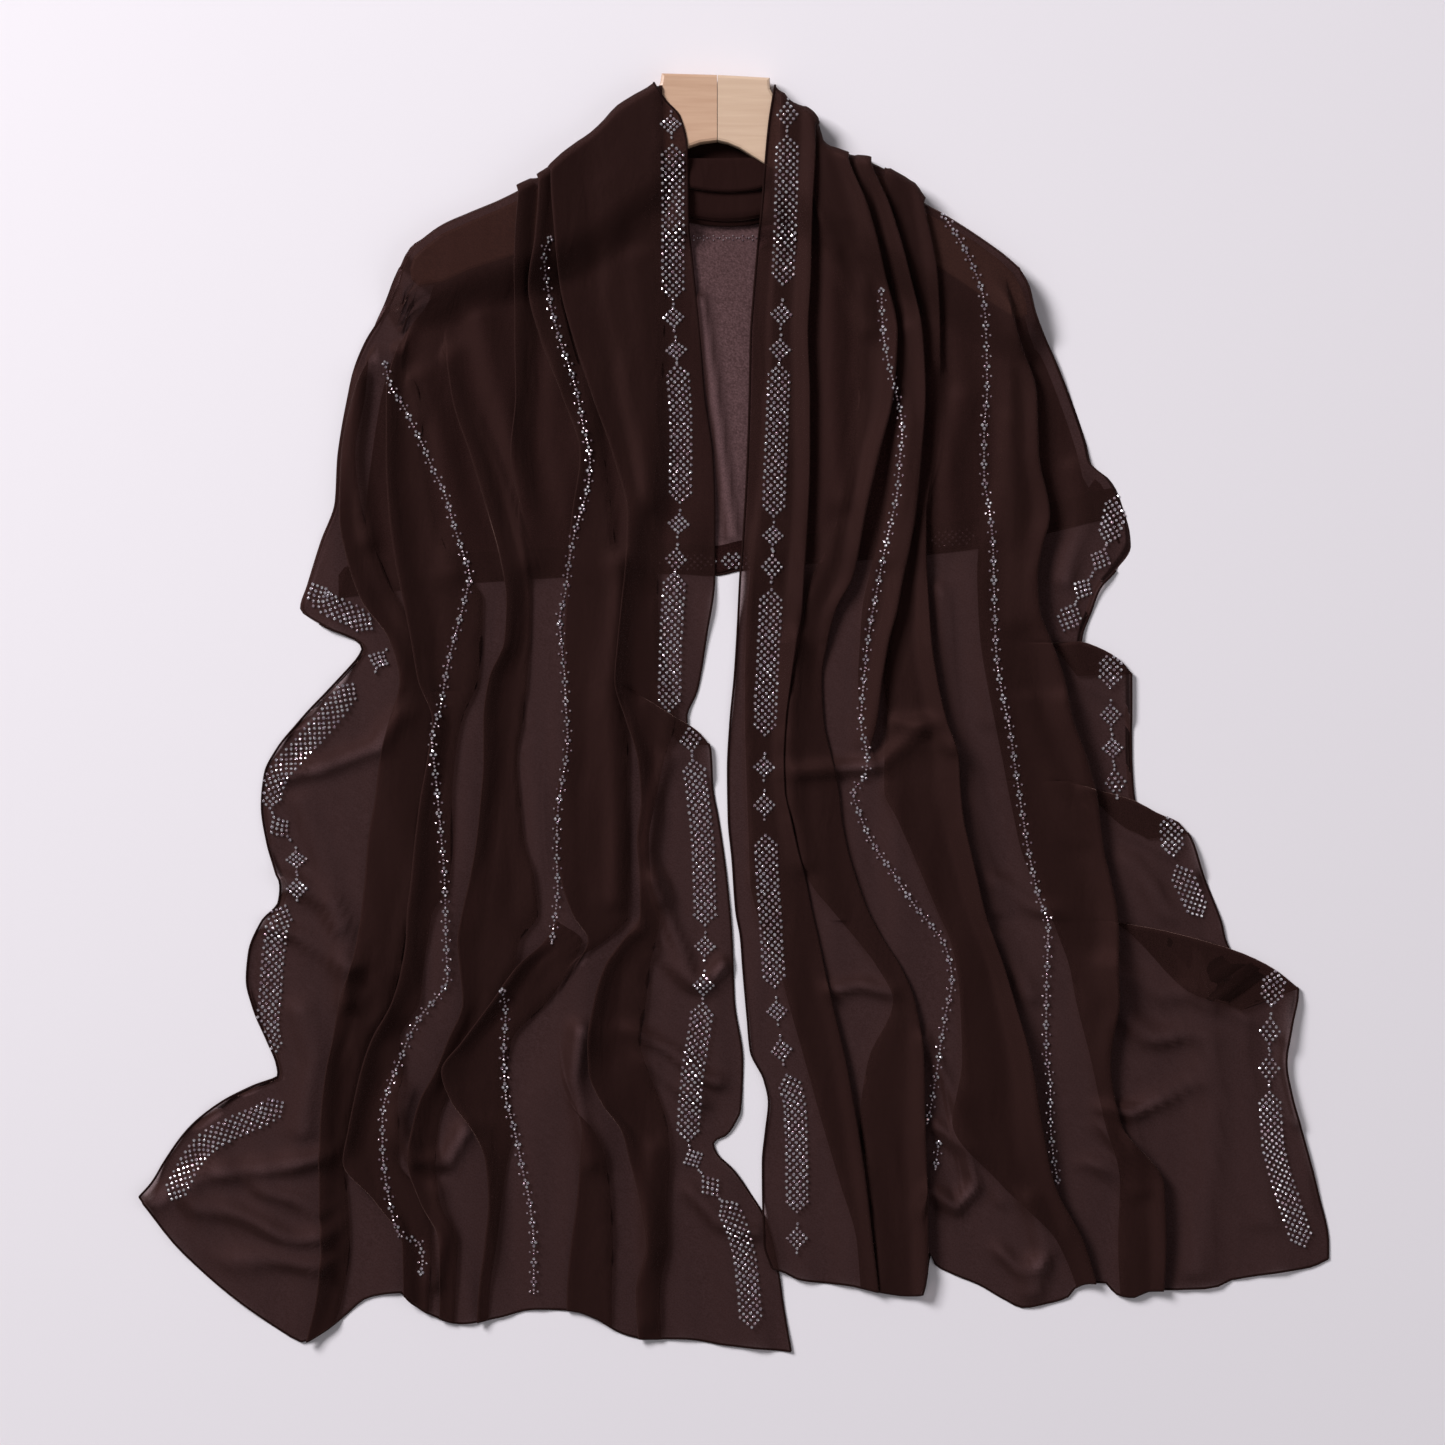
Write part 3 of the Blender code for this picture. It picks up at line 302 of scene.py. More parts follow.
# Soft creases of the cloth: picture pixels along each, then its half width and height in millimetres. It
# stands CREASE_LIFT times that height, up to CREASE_TOP, and is CREASE_SPREAD wider on each side.
CREASE_LIFT = 2.0
CREASE_TOP = 6.2
CREASE_SPREAD = 0.5
CREASES = (
    (((262, 872), (300, 885), (330, 905), (346, 945), (350, 1000)), 6.0, 3.2),
    (((268, 925), (300, 935), (330, 955), (352, 968)), 5.0, 2.6),
    (((300, 800), (320, 850), (338, 905), (345, 925)), 6.0, 2.4),
    (((290, 775), (330, 765), (380, 745), (400, 715)), 6.0, 2.8),
    (((300, 1010), (312, 1060), (305, 1130)), 7.0, 2.6),
    (((150, 1200), (210, 1172), (270, 1168), (318, 1158)), 6.0, 3.2),
    (((190, 1205), (240, 1212), (290, 1240), (322, 1236)), 6.0, 2.8),
    (((225, 1262), (270, 1258), (322, 1266)), 5.0, 2.6),
    (((262, 1190), (300, 1200), (318, 1212)), 5.0, 2.0),
    (((622, 560), (612, 700), (618, 820), (616, 900)), 5.0, 2.6),
    (((655, 880), (672, 930), (688, 968), (702, 985), (722, 965)), 5.0, 3.0),
    (((640, 930), (668, 962), (690, 985)), 4.5, 2.4),
    (((632, 1030), (670, 1050), (700, 1075), (716, 1082)), 5.0, 3.0),
    (((650, 1062), (680, 1088), (702, 1100)), 4.5, 2.2),
    (((668, 760), (655, 800), (650, 850), (660, 900)), 4.5, 2.2),
    (((580, 1030), (574, 1080), (584, 1130), (592, 1160)), 6.5, 3.2),
    (((405, 1090), (400, 1125), (416, 1158), (446, 1162), (464, 1130)), 5.5, 3.0),
    (((438, 1190), (446, 1230), (436, 1280)), 6.0, 2.2),
    (((655, 1150), (652, 1220), (650, 1320)), 6.0, 2.4),
    (((690, 1190), (720, 1222), (755, 1232)), 5.0, 2.2),
    (((1112, 965), (1124, 1015), (1150, 1040), (1185, 1032), (1204, 1000)), 6.0, 3.2),
    (((1140, 975), (1165, 1000), (1195, 985)), 5.5, 2.4),
    (((1102, 1108), (1130, 1112), (1134, 1150), (1140, 1190)), 4.5, 2.8),
    (((1090, 1160), (1108, 1172), (1120, 1150), (1102, 1125)), 4.5, 2.6),
    (((1130, 1112), (1165, 1096), (1196, 1078), (1204, 1035)), 5.0, 2.8),
    (((936, 1125), (966, 1150), (976, 1182), (956, 1206), (930, 1190)), 5.0, 3.0),
    (((925, 1040), (956, 1100), (985, 1160), (1000, 1200)), 5.0, 1.8),
    (((1030, 1200), (1045, 1250), (1032, 1290)), 7.0, 3.2),
    (((1000, 1250), (1022, 1272), (1036, 1262)), 5.0, 2.4),
    (((800, 772), (840, 768), (880, 764), (905, 744), (925, 722)), 5.0, 3.4),
    (((898, 722), (930, 728), (950, 748)), 5.0, 2.6),
    (((797, 640), (792, 700), (790, 760), (796, 820), (806, 862)), 5.0, 2.6),
    (((832, 990), (860, 984), (890, 992)), 4.5, 2.6),
    (((940, 590), (947, 660), (958, 730), (970, 790), (982, 860), (996, 910)), 4.5, 2.6),
    (((968, 560), (975, 640), (990, 720)), 6.0, 1.8),
    (((1000, 880), (1030, 905), (1050, 912)), 5.0, 2.6),
    (((1000, 935), (1012, 965), (1030, 995)), 5.5, 2.4),
    (((1212, 990), (1214, 1080), (1206, 1180), (1194, 1270)), 5.5, 3.2),
    (((1240, 1020), (1248, 1120), (1262, 1220)), 7.0, 2.0),
    (((1290, 1000), (1286, 1060), (1296, 1120)), 5.0, 2.0),
    (((1130, 860), (1152, 890), (1168, 915)), 6.5, 2.4),
    (((862, 170), (864, 250), (868, 330)), 5.0, 2.6),
    (((830, 160), (832, 260), (835, 380), (842, 500)), 6.5, 2.6),
    (((905, 330), (908, 420), (900, 500), (890, 560)), 5.0, 2.0),
    (((960, 400), (950, 480), (955, 540)), 7.0, 1.8),
    (((1008, 340), (1012, 440), (1016, 540), (1018, 620)), 8.0, 2.4),
    (((1075, 470), (1085, 520), (1064, 580)), 6.0, 2.2),
    (((640, 260), (652, 380), (650, 480), (636, 560)), 8.0, 2.4),
    (((604, 190), (612, 300), (632, 420), (650, 500)), 7.0, 2.2),
    (((480, 320), (498, 400), (520, 480), (530, 560)), 9.0, 2.8),
    (((420, 380), (440, 440), (455, 520), (458, 570)), 8.0, 2.6),
    (((360, 380), (356, 460), (368, 540)), 6.0, 2.2),
    (((1028, 700), (1040, 748), (1062, 790), (1080, 840)), 4.5, 2.6),
    (((1062, 700), (1080, 750), (1082, 790)), 5.0, 2.2))

# Faint waviness of all the cloth: height of the broad waves and the ripples, and a length for each
WAVE_HEIGHT = 0.95
WAVE_LENGTH = 7.1
RIPPLE_HEIGHT = 0.42
RIPPLE_LENGTH = 3.9

# Mesh rows between the lines across each end, and mesh columns in a stretch and in a turned-under part
ROW_COUNTS = {"left": (112, 128), "right": (98, 30, 30, 74)}
SPAN_COLUMNS = 22
BACK_COLUMNS = 4

# Soft roll along a fold's lip: its width, the least height that counts as a roll, how far such a roll is
# lifted over its table value, and the highest one
ROLL_WIDTH = 9.5
FLAT_ROLL = 2.0
ROLL_LIFT = 1.4
ROLL_HIGHEST = 11.0

# Tucks: length turned under, where it fades out and where it is full (x), end of its root and of its lip
TUCKS = {
    "left": (dict(turn=17.0, fade=-66.0, full=-30.0, side="inner", root=-36.0, lip=-16.5),),
    "right": (dict(turn=26.0, fade=206.0, full=232.0, side="outer", root=226.0, lip=262.0),
              dict(turn=21.0, fade=222.0, full=262.0, side="outer", root=272.0, lip=299.5),
              dict(turn=38.0, fade=246.0, full=306.0, side="outer", root=334.0, lip=372.0))}

# Rows of the mesh at a tuck, from above it to its lip: kind, rise over the tuck's line, whether turned under
TUCK_ROWS = (
    ("above", 0.8, 0.0), ("root low", 0.5, 1.0), ("root high", 0.2, 1.0), ("lip low", -0.2, 0.0),
    ("lip high", -0.6, 0.0))

# Layers at a tuck: the share turned under that counts as whole, and how they rise from its root
TUCK_FADE = 0.15
TUCK_REACH = 12.0
TUCK_EASE = 10.0


def plan(px, py):
    """Picture pixels to millimetres across and up the scarf."""
    return (px - PICTURE_MIDDLE[0]) * PIXEL, (PICTURE_MIDDLE[1] - py) * PIXEL


def roll_distance(x, y):
    """Distance from each place to the roll at the neck, 0 over it."""
    across = np.maximum(ROLL_X[0] - x, x - ROLL_X[1])
    along = np.maximum(ROLL_Y[0] - y, y - ROLL_Y[1])
    return np.maximum(np.maximum(across, along), 0.0)


def polyline_distance(x, y, points):
    """Distance from each place to a line through points."""
    nearest = np.full(np.shape(x), 1e9)
    for (ax, ay), (bx, by) in zip(points[:-1], points[1:]):
        dx, dy = bx - ax, by - ay
        t = np.clip(((x - ax) * dx + (y - ay) * dy) / (dx * dx + dy * dy), 0, 1)
        nearest = np.minimum(nearest, np.hypot(x - ax - t * dx, y - ay - t * dy))
    return nearest


def crease_height(x, y):
    """Soft ridges that all layers share, drawn where the picture shows them, over a faint waviness."""
    height = np.zeros(np.shape(x))
    for points, half, rise in CREASES:
        path = [plan(*point) for point in points]
        away = polyline_distance(x, y, path) / (half + CREASE_SPREAD)
        height += min(CREASE_LIFT * rise, CREASE_TOP) * np.exp(-away ** 2)
    sway = 14 * np.sin(y / 61.0 + 1.3) + 9 * np.sin(y / 29.0 + x / 90.0)
    wave = 1 + np.sin((x + sway) / WAVE_LENGTH)
    height += WAVE_HEIGHT * wave * (0.6 + 0.4 * np.sin(y / 77.0 + x / 53.0))
    ripple = 1 + np.sin((x - 0.6 * sway) / RIPPLE_LENGTH + y / 47.0)
    height += RIPPLE_HEIGHT * ripple * (1 + np.sin(y / 41.0 - x / 37.0))
    return height


def rest_height(x, y, side):
    """Height of a single layer of a front end over what is under it, and of the creases on top."""
    height = FLOOR_LEVEL + ON_BACK * smooth((y - curve(BACK_HEM)(x) + BACK_EDGE_REACH) / BACK_EDGE_EASE)
    away = outline_distance(x, y, HANGER_LEFT[:-1] + HANGER_RIGHT[1:-1])
    tent = smooth(1 - (away - TENT_MARGIN) / TENT_FALL)
    height = np.maximum(height, FLOOR_LEVEL + (TENT_TOP - FLOOR_LEVEL) * tent)
    height = np.maximum(height, ROLL_TOP * smooth(1 - (roll_distance(x, y) - ROLL_MARGIN) / ROLL_FALL))
    if side == "right":
        overlap = smooth((curve(LEFT_INNER)(y) + OVERLAP_REACH - x) / OVERLAP_EASE)
        overlap = overlap * smooth((OVERLAP_TOP - y) / OVERLAP_TOP_EASE)
        height = np.maximum(height, FLOOR_LEVEL + OVERLAP_RISE * overlap)
    return height, crease_height(x, y) * (1 - TENT_SMOOTHS * tent)


class End:
    """One end of the scarf, from the shoulder fold to its lower hem, as a grid of points."""

    def __init__(self, side):
        left = side == "left"
        self.side = side
        self.out = -1 if left else 1
        lines = ((LEFT_SHOULDER, LEFT_TUCK, LEFT_FOOT) if left else
                 (RIGHT_SHOULDER, RIGHT_TUCK_1, RIGHT_TUCK_2, RIGHT_TUCK_3, RIGHT_FOOT))
        self.lines = [curve(line) for line in lines]
        self.fold_ends = LEFT_FOLD_ENDS if left else RIGHT_FOLD_ENDS
        pleats = np.array(LEFT_PLEATS if left else RIGHT_PLEATS, dtype=float)
        across, down = plan(pleats[:, 1:], pleats[:, :1])
        self.paths = [curve(LEFT_INNER if left else RIGHT_INNER)]
        self.paths += [curve(list(zip(down[:, 0], path))) for path in across.T]
        self.paths += [curve(LEFT_OUTER if left else RIGHT_OUTER)]
        self.tucks = TUCKS[side]
        rolls = np.array(LEFT_ROLLS if left else RIGHT_ROLLS, dtype=float)
        full = rolls[:, 1:] > FLAT_ROLL
        rolls[:, 1:] = np.where(full, np.minimum(ROLL_LIFT * rolls[:, 1:], ROLL_HIGHEST), rolls[:, 1:])
        self.rolls = [curve(list(zip(plan(0, rolls[:, 0])[1], fold))) for fold in rolls[:, 1:].T]

    def tucked(self, k, x):
        """How far tuck k is turned under at x, from 0 to 1."""
        tuck = self.tucks[k]
        return smooth((x - tuck["fade"]) / (tuck["full"] - tuck["fade"]))

    def rows(self):
        """The rows down the cloth: each one's y as a function of x, its kind and its tuck."""
        rows = [(self.lines[0], "floor", None), (self.lines[0], "edge", None)]
        for k, count in enumerate(ROW_COUNTS[self.side]):
            upper, lower = self.lines[k], self.lines[k + 1]
            shares = (np.arange(count) + 1.0) / (count + 1.0)
            if k == 0:
                shares = 0.55 * shares + 0.45 * shares ** 2
            rows += [(self.between(upper, lower, s), "plain", k - 1) for s in shares]
            if k < len(self.tucks):
                rows += [(self.shifted(k, rise, turned), kind, k) for kind, rise, turned in TUCK_ROWS]
        rows += [(self.lines[-1], "foot", len(self.tucks) - 1)]
        return rows

    def between(self, upper, lower, share):
        """A row at a share of the way from one line to the next."""
        return lambda x: (1 - share) * upper(x) + share * lower(x)

    def shifted(self, k, rise, turned):
        """A row along tuck k's line, or along its hidden root."""
        line, turn = self.lines[k + 1], self.tucks[k]["turn"]
        return lambda x: line(x) + rise - turned * turn * self.tucked(k, x)

    def meet(self, path, row, first):
        """Where a line down the cloth meets a row across it."""
        y = np.linspace(430.0, -440.0, 3481)
        gap = y - row(path(y))
        turns = np.nonzero((gap[:-1] > 0) & (gap[1:] <= 0))[0]
        i = turns[0] if first else turns[-1]
        share = gap[i] / (gap[i] - gap[i + 1])
        return float(path(y[i] + share * (y[i + 1] - y[i])))

    def stops(self, row, kind, k):
        """Where the hems and the folds' lips and roots lie along a row."""
        upper = kind in ("above", "root low")
        stops = [self.meet(path, row, upper) for path in self.paths]
        if kind in ("root low", "root high", "lip low", "lip high"):
            tuck = self.tucks[k]
            place = 0 if tuck["side"] == "inner" else -1
            stops[place] = tuck["root"] if kind.startswith("root") else tuck["lip"]
        return stops

    def depths(self, stops):
        """How far each fold is turned under in each row; below 0 it lies open."""
        depth = self.out * (stops[:, 1:-1:2] - stops[:, 2:-1:2])
        return np.where(depth >= 0, np.maximum(depth, LEAST_FOLD), np.minimum(depth, -LEAST_FOLD))

    def section(self, stops, deep):
        """Spans of cloth across a row, from the inner hem to the outer side, as x positions."""
        stops = stops.copy()
        for k, depth in enumerate(deep):
            stops[2 * k + 2] = stops[2 * k + 1] - self.out * depth
        spans = []
        for k in range(len(stops) - 1):
            shares = np.linspace(0, 1, SPAN_COLUMNS if k % 2 == 0 else BACK_COLUMNS)
            if k % 2 == 0:
                shares = 0.4 * shares + 0.6 * (1 - np.cos(math.pi * shares)) / 2
            spans.append(stops[k] + (stops[k + 1] - stops[k]) * shares)
        for k, depth in enumerate(deep):
            flat = 0.5 * self.out * (1 - smooth((depth + FOLD_FADE) / FOLD_FADE))
            spans[2 * k + 1][0] += flat
            spans[2 * k + 1][-1] -= flat
        return spans

    def puff(self, spans, rolls):
        """Height of the soft roll that each fold makes along its lip."""
        heights = [np.zeros_like(span) for span in spans]
        for k, roll in enumerate(rolls):
            away = np.abs(spans[2 * k] - spans[2 * k][-1])
            heights[2 * k] = roll * np.exp(-(away / ROLL_WIDTH) ** 2)
        return np.concatenate(heights)

    def stack(self, spans, turn, heights):
        """Lays the spans of a row on those that lie under them."""
        last = len(spans) - 1
        for _ in range(3):
            for i in range(last, -1, -1):
                for j in range(last, i, -1):
                    joined = j == i + 1
                    straddled = j == i + 2 and i % 2 == 0
                    gap = turn[i // 2] * (2 if straddled else 1) if joined or straddled else LAYER
                    margin = 0.2 if joined or straddled else 1.5
                    self.lift(spans[i], heights[i], spans[j], heights[j], gap, margin)
            for i in range(last):
                step = turn[i // 2]
                heights[i + 1][0] = max(heights[i + 1][0], heights[i][-1] - step)
                heights[i][-1] = max(heights[i][-1], heights[i + 1][0] + step)
            for span, height in zip(spans, heights):
                reach = STEEPEST * np.abs(span[:, None] - span[None, :])
                height[:] = np.max(height[None, :] - reach, axis=1)
        return heights

    def lift(self, over, over_z, under, under_z, gap, margin):
        """Raises the upper span to clear the lower one."""
        order = np.argsort(under)
        low, high = under[order[0]], under[order[-1]]
        if over.max() < low - margin or over.min() > high + margin:
            return
        reach = (over >= low - margin) & (over <= high + margin)
        needed = np.interp(over, under[order], under_z[order]) + gap
        over_z[reach] = np.maximum(over_z[reach], needed[reach])

    def grid(self):
        """Points of the cloth, row by row."""
        rows = self.rows()
        stops = np.array([self.stops(*row) for row in rows])
        depth = self.depths(stops)
        turn = LAYER * smooth((depth + FOLD_FADE) / FOLD_FADE)
        sections = [self.section(*pair) for pair in zip(stops, depth)]
        split = np.cumsum([len(span) for span in sections[0]])[:-1]
        x = np.array([np.concatenate(spans) for spans in sections])
        y = np.array([row(line) for line, (row, kind, k) in zip(x, rows)])
        lips = np.array([[row(x0) for x0 in line[1:-1:2]] for line, (row, kind, k) in zip(stops, rows)])
        rolls = np.stack([roll(lips[:, i]) for i, roll in enumerate(self.rolls)], axis=1) * turn / LAYER
        rest, crease = rest_height(x, y, self.side)
        z = rest + crease + np.array([self.puff(*pair) for pair in zip(sections, rolls)])
        z = np.array([np.concatenate(self.stack(spans, step, np.split(line.copy(), split)))
                      for spans, step, line in zip(sections, turn, z)])
        z -= crease
        for _ in range(2):
            z[2:-1] = (z[1:-2] + 2 * z[2:-1] + z[3:]) / 4
        z += crease
        x, y, z = self.round_lips(x, y, z, split, depth)
        return np.array([self.finish(x[r], y[r], z[r], *rows[r]) for r in range(len(rows))])

    def round_lips(self, x, y, z, split, depth):
        """Adds a column round the outside of each fold, so that its lip is a soft turn."""
        for k in reversed(range(depth.shape[1])):
            at = split[2 * k]
            top, under = z[:, at - 1].copy(), z[:, at].copy()
            lip = x[:, at - 1].copy()
            inset = self.out * np.minimum(LIP_SHARE * (top - under), LIP_MOST)
            inset = inset * smooth((depth[:, k] + 1) / 3.0)
            x[:, at - 1] -= inset
            x[:, at] -= inset
            middle = np.where(np.abs(inset) > 0, lip, (x[:, at - 1] + x[:, at]) / 2)
            x = np.insert(x, at, middle, axis=1)
            y = np.insert(y, at, y[:, at - 1], axis=1)
            z = np.insert(z, at, 0.45 * top + 0.55 * under, axis=1)
        return x, y, z

    def finish(self, x, y, z, row, kind, k):
        """Gives a row its tuck, its side and its shoulder fold."""
        z = z + LAYER * self.tuck_layers(x, y, kind, k)
        edge, edge_y = x[-1], y[-1]
        x, y, z = np.append(x, edge), np.append(y, edge_y), np.append(z, z[-1])
        x[-2] -= self.out * SIDE_ROUND
        y[-2] = row(x[-2])
        if edge_y > self.fold_ends:
            z[-1] = 0.0
            z[-2] = max(z[-2] - 0.3 * SIDE_ROUND, 0.5 * z[-2])
        if kind in ("floor", "edge"):
            lean = np.clip((row(x + 1.5) - row(x - 1.5)) / 3.0, -3.0, 3.0)
            size = np.hypot(lean, 1.0)
            lift = np.clip(z - sum(rest_height(x, y, self.side)), 0.0, SHOULDER_LIFT)
            lift[-1] = lift[-2]
            x = x - lean / size * lift
            y = y + lift / size
            z = np.zeros_like(z) if kind == "floor" else np.maximum(z - SHOULDER_ROUND, 0.5 * z)
            z[-1] = 0.0
        return np.stack([x, y, z], axis=1)

    def tuck_layers(self, x, y, kind, k):
        """Layers that a tuck adds under a row."""
        if k is None or k < 0:
            return np.zeros_like(x)
        share = np.minimum(1, self.tucked(k, x) / TUCK_FADE)
        level = {"above": 0, "root low": 0, "root high": 1, "lip low": 1, "lip high": 2}
        if kind in level:
            return share * level[kind]
        root = self.lines[k + 1](x) - self.tucks[k]["turn"] * self.tucked(k, x)
        return 2 * share * smooth((y - root + TUCK_REACH) / TUCK_EASE)


def grid_mesh(points, close=False):
    """A sheet through rows of points; close joins its last column to its first."""
    rows, columns = points.shape[:2]
    bm = bmesh.new()
    verts = [bm.verts.new(Vector(p) * MM) for p in points.reshape(-1, 3)]
    for r in range(rows - 1):
        for c in range(columns if close else columns - 1):
            d = (c + 1) % columns
            corners = (verts[r * columns + c], verts[r * columns + d],
                       verts[(r + 1) * columns + d], verts[(r + 1) * columns + c])
            bm.faces.new(corners)
    bm.normal_update()
    if sum(face.calc_area() * face.normal.z for face in bm.faces) < 0 and not close:
        bmesh.ops.reverse_faces(bm, faces=bm.faces)
    return bm


def add_piece(name, bm, mat, smooth_shading=True):
    """Makes a mesh a named piece with its material."""
    mesh = bpy.data.meshes.new(name)
    bm.to_mesh(mesh)
    bm.free()
    piece = bpy.data.objects.new(name, mesh)
    bpy.context.scene.collection.objects.link(piece)
    mesh.materials.append(mat)
    if smooth_shading:
        mesh.shade_smooth()
    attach(piece, "root")
    return piece


# Hems: radius of the rolled edge, and the least height of any point of it
HEM_RADIUS = 0.75
HEM_FLOOR = 0.02


def tube(path, radius, sides=6):
    """A round hem along a path of points, open at both ends."""
    path = np.array(path, dtype=float)
    ahead = np.gradient(path, axis=0)
    ahead /= np.maximum(np.linalg.norm(ahead, axis=1, keepdims=True), 1e-9)
    across = np.cross(ahead, (0.0, 0.0, 1.0))
    across /= np.maximum(np.linalg.norm(across, axis=1, keepdims=True), 1e-6)
    up = np.cross(across, ahead)
    turns = np.arange(sides) * 2 * math.pi / sides
    ring = (path[:, None, :] + radius * (np.cos(turns)[None, :, None] * across[:, None, :]
                                         + np.sin(turns)[None, :, None] * up[:, None, :]))
    ring[:, :, 2] = np.maximum(ring[:, :, 2], HEM_FLOOR)
    bm = grid_mesh(ring, close=True)
    bmesh.ops.reverse_faces(bm, faces=bm.faces)
    return bm


def merge(parts):
    """Joins meshes into one."""
    whole = bmesh.new()
    for part in parts:
        mesh = bpy.data.meshes.new("part")
        part.to_mesh(mesh)
        part.free()
        whole.from_mesh(mesh)
        bpy.data.meshes.remove(mesh)
    return whole


# Materials
class Nodes:
    """A node tree built by name."""

    def __init__(self, tree):
        self.tree = tree

    def add(self, kind, **sockets):
        """A new node, with values or links for its sockets."""
        node = self.tree.nodes.new(kind)
        for name, value in sockets.items():
            self.put(node, name.replace("_", " "), value)
        return node

    def put(self, node, name, value):
        """Links an output to a socket, or sets its value."""
        socket = node.inputs[int(name)] if name.isdigit() else node.inputs[name]
        if hasattr(value, "is_output"):
            self.tree.links.new(value, socket)
        else:
            socket.default_value = value


def crinkle_group():
    """Crepe twist and soft crinkles of chiffon: a height, a tone, and how open the weave is."""
    group = bpy.data.node_groups.new("chiffon_crinkle", "ShaderNodeTree")
    group.interface.new_socket("Vector", in_out="INPUT", socket_type="NodeSocketVector")
    group.interface.new_socket("Height", in_out="OUTPUT", socket_type="NodeSocketFloat")
    group.interface.new_socket("Tone", in_out="OUTPUT", socket_type="NodeSocketFloat")
    group.interface.new_socket("Grain", in_out="OUTPUT", socket_type="NodeSocketFloat")
    nodes = Nodes(group)
    way_in, way_out = nodes.add("NodeGroupInput"), nodes.add("NodeGroupOutput")
    stretch = nodes.add("ShaderNodeVectorMath", **{"0": way_in.outputs["Vector"], "1": (1.0, 0.28, 1.0)})
    stretch.operation = "MULTIPLY"
    long_crinkle = nodes.add("ShaderNodeTexNoise", Vector=stretch.outputs[0], Scale=62.0, Detail=3.0,
                             Roughness=0.5, Distortion=0.6)
    fine_crinkle = nodes.add("ShaderNodeTexNoise", Vector=stretch.outputs[0], Scale=240.0, Detail=2.0,
                             Roughness=0.6)
    crepe = nodes.add("ShaderNodeTexNoise", Vector=way_in.outputs["Vector"], Scale=2400.0, Detail=1.0)
    first = nodes.add("ShaderNodeMath", **{"0": long_crinkle.outputs["Fac"], "1": 1.0})
    first.operation = "MULTIPLY"
    second = nodes.add("ShaderNodeMath", **{"0": fine_crinkle.outputs["Fac"], "1": 0.16,
                                            "2": first.outputs[0]})
    second.operation = "MULTIPLY_ADD"
    third = nodes.add("ShaderNodeMath", **{"0": crepe.outputs["Fac"], "1": 0.02, "2": second.outputs[0]})
    third.operation = "MULTIPLY_ADD"
    nodes.put(way_out, "Height", third.outputs[0])
    patches = nodes.add("ShaderNodeTexNoise", Vector=stretch.outputs[0], Scale=14.0, Detail=2.0)
    nodes.put(way_out, "Tone", patches.outputs["Fac"])
    mesh_holes = nodes.add("ShaderNodeTexNoise", Vector=way_in.outputs["Vector"], Scale=950.0, Detail=2.0)
    grain = nodes.add("ShaderNodeMapRange", Value=mesh_holes.outputs["Fac"])
    for name, value in (("From Min", 0.3), ("From Max", 0.7), ("To Min", 0.72), ("To Max", 1.28)):
        grain.inputs[name].default_value = value
    nodes.put(way_out, "Grain", grain.outputs[0])
    return group


def chiffon(name, dark, light, see_through):
    """Sheer crepe chiffon: dark yarn that lets a little light straight through."""
    mat = bpy.data.materials.new(name)
    mat.use_nodes = True
    nodes = Nodes(mat.node_tree)
    shader = mat.node_tree.nodes["Principled BSDF"]
    place = nodes.add("ShaderNodeTexCoord")
    crinkle = nodes.add("ShaderNodeGroup")
    crinkle.node_tree = CRINKLE
    nodes.put(crinkle, "Vector", place.outputs["Object"])
    tone = nodes.add("ShaderNodeMix", Factor=crinkle.outputs["Tone"])
    tone.data_type = "RGBA"
    colours = [s for s in tone.inputs if s.type == "RGBA"]
    colours[0].default_value, colours[1].default_value = dark, light
    shade = [s for s in tone.outputs if s.type == "RGBA"][0]
    nodes.put(shader, "Base Color", shade)
    bump = nodes.add("ShaderNodeBump", Height=crinkle.outputs["Height"], Strength=0.4, Distance=0.0022)
    nodes.put(shader, "Normal", bump.outputs["Normal"])
    shader.inputs["Roughness"].default_value = 0.72
    shader.inputs["Specular IOR Level"].default_value = 0.16
    shader.inputs["Specular Tint"].default_value = (1.0, 0.48, 0.45, 1.0)
    shader.inputs["Sheen Weight"].default_value = 0.2
    shader.inputs["Sheen Roughness"].default_value = 0.3
    shader.inputs["Sheen Tint"].default_value = (0.75, 0.44, 0.38, 1.0)
    film = nodes.add("ShaderNodeBsdfTransparent", Color=(1.0, 0.77, 0.77, 1.0))
    tilt = nodes.add("ShaderNodeLayerWeight", Blend=0.5)
    clear = nodes.add("ShaderNodeMapRange", Value=tilt.outputs["Facing"])
    clear.inputs["From Min"].default_value = 0.005
    clear.inputs["From Max"].default_value = 0.17
    clear.inputs["To Min"].default_value = see_through
    clear.inputs["To Max"].default_value = 0.25 * see_through
    grain = nodes.add("ShaderNodeMath", **{"0": clear.outputs[0], "1": crinkle.outputs["Grain"]})
    grain.operation = "MULTIPLY"
    mix = nodes.add("ShaderNodeMixShader", Fac=grain.outputs[0])
    nodes.put(mix, "1", shader.outputs[0])
    nodes.put(mix, "2", film.outputs[0])
    out = mat.node_tree.nodes["Material Output"]
    mat.node_tree.links.new(mix.outputs[0], out.inputs["Surface"])
    return mat


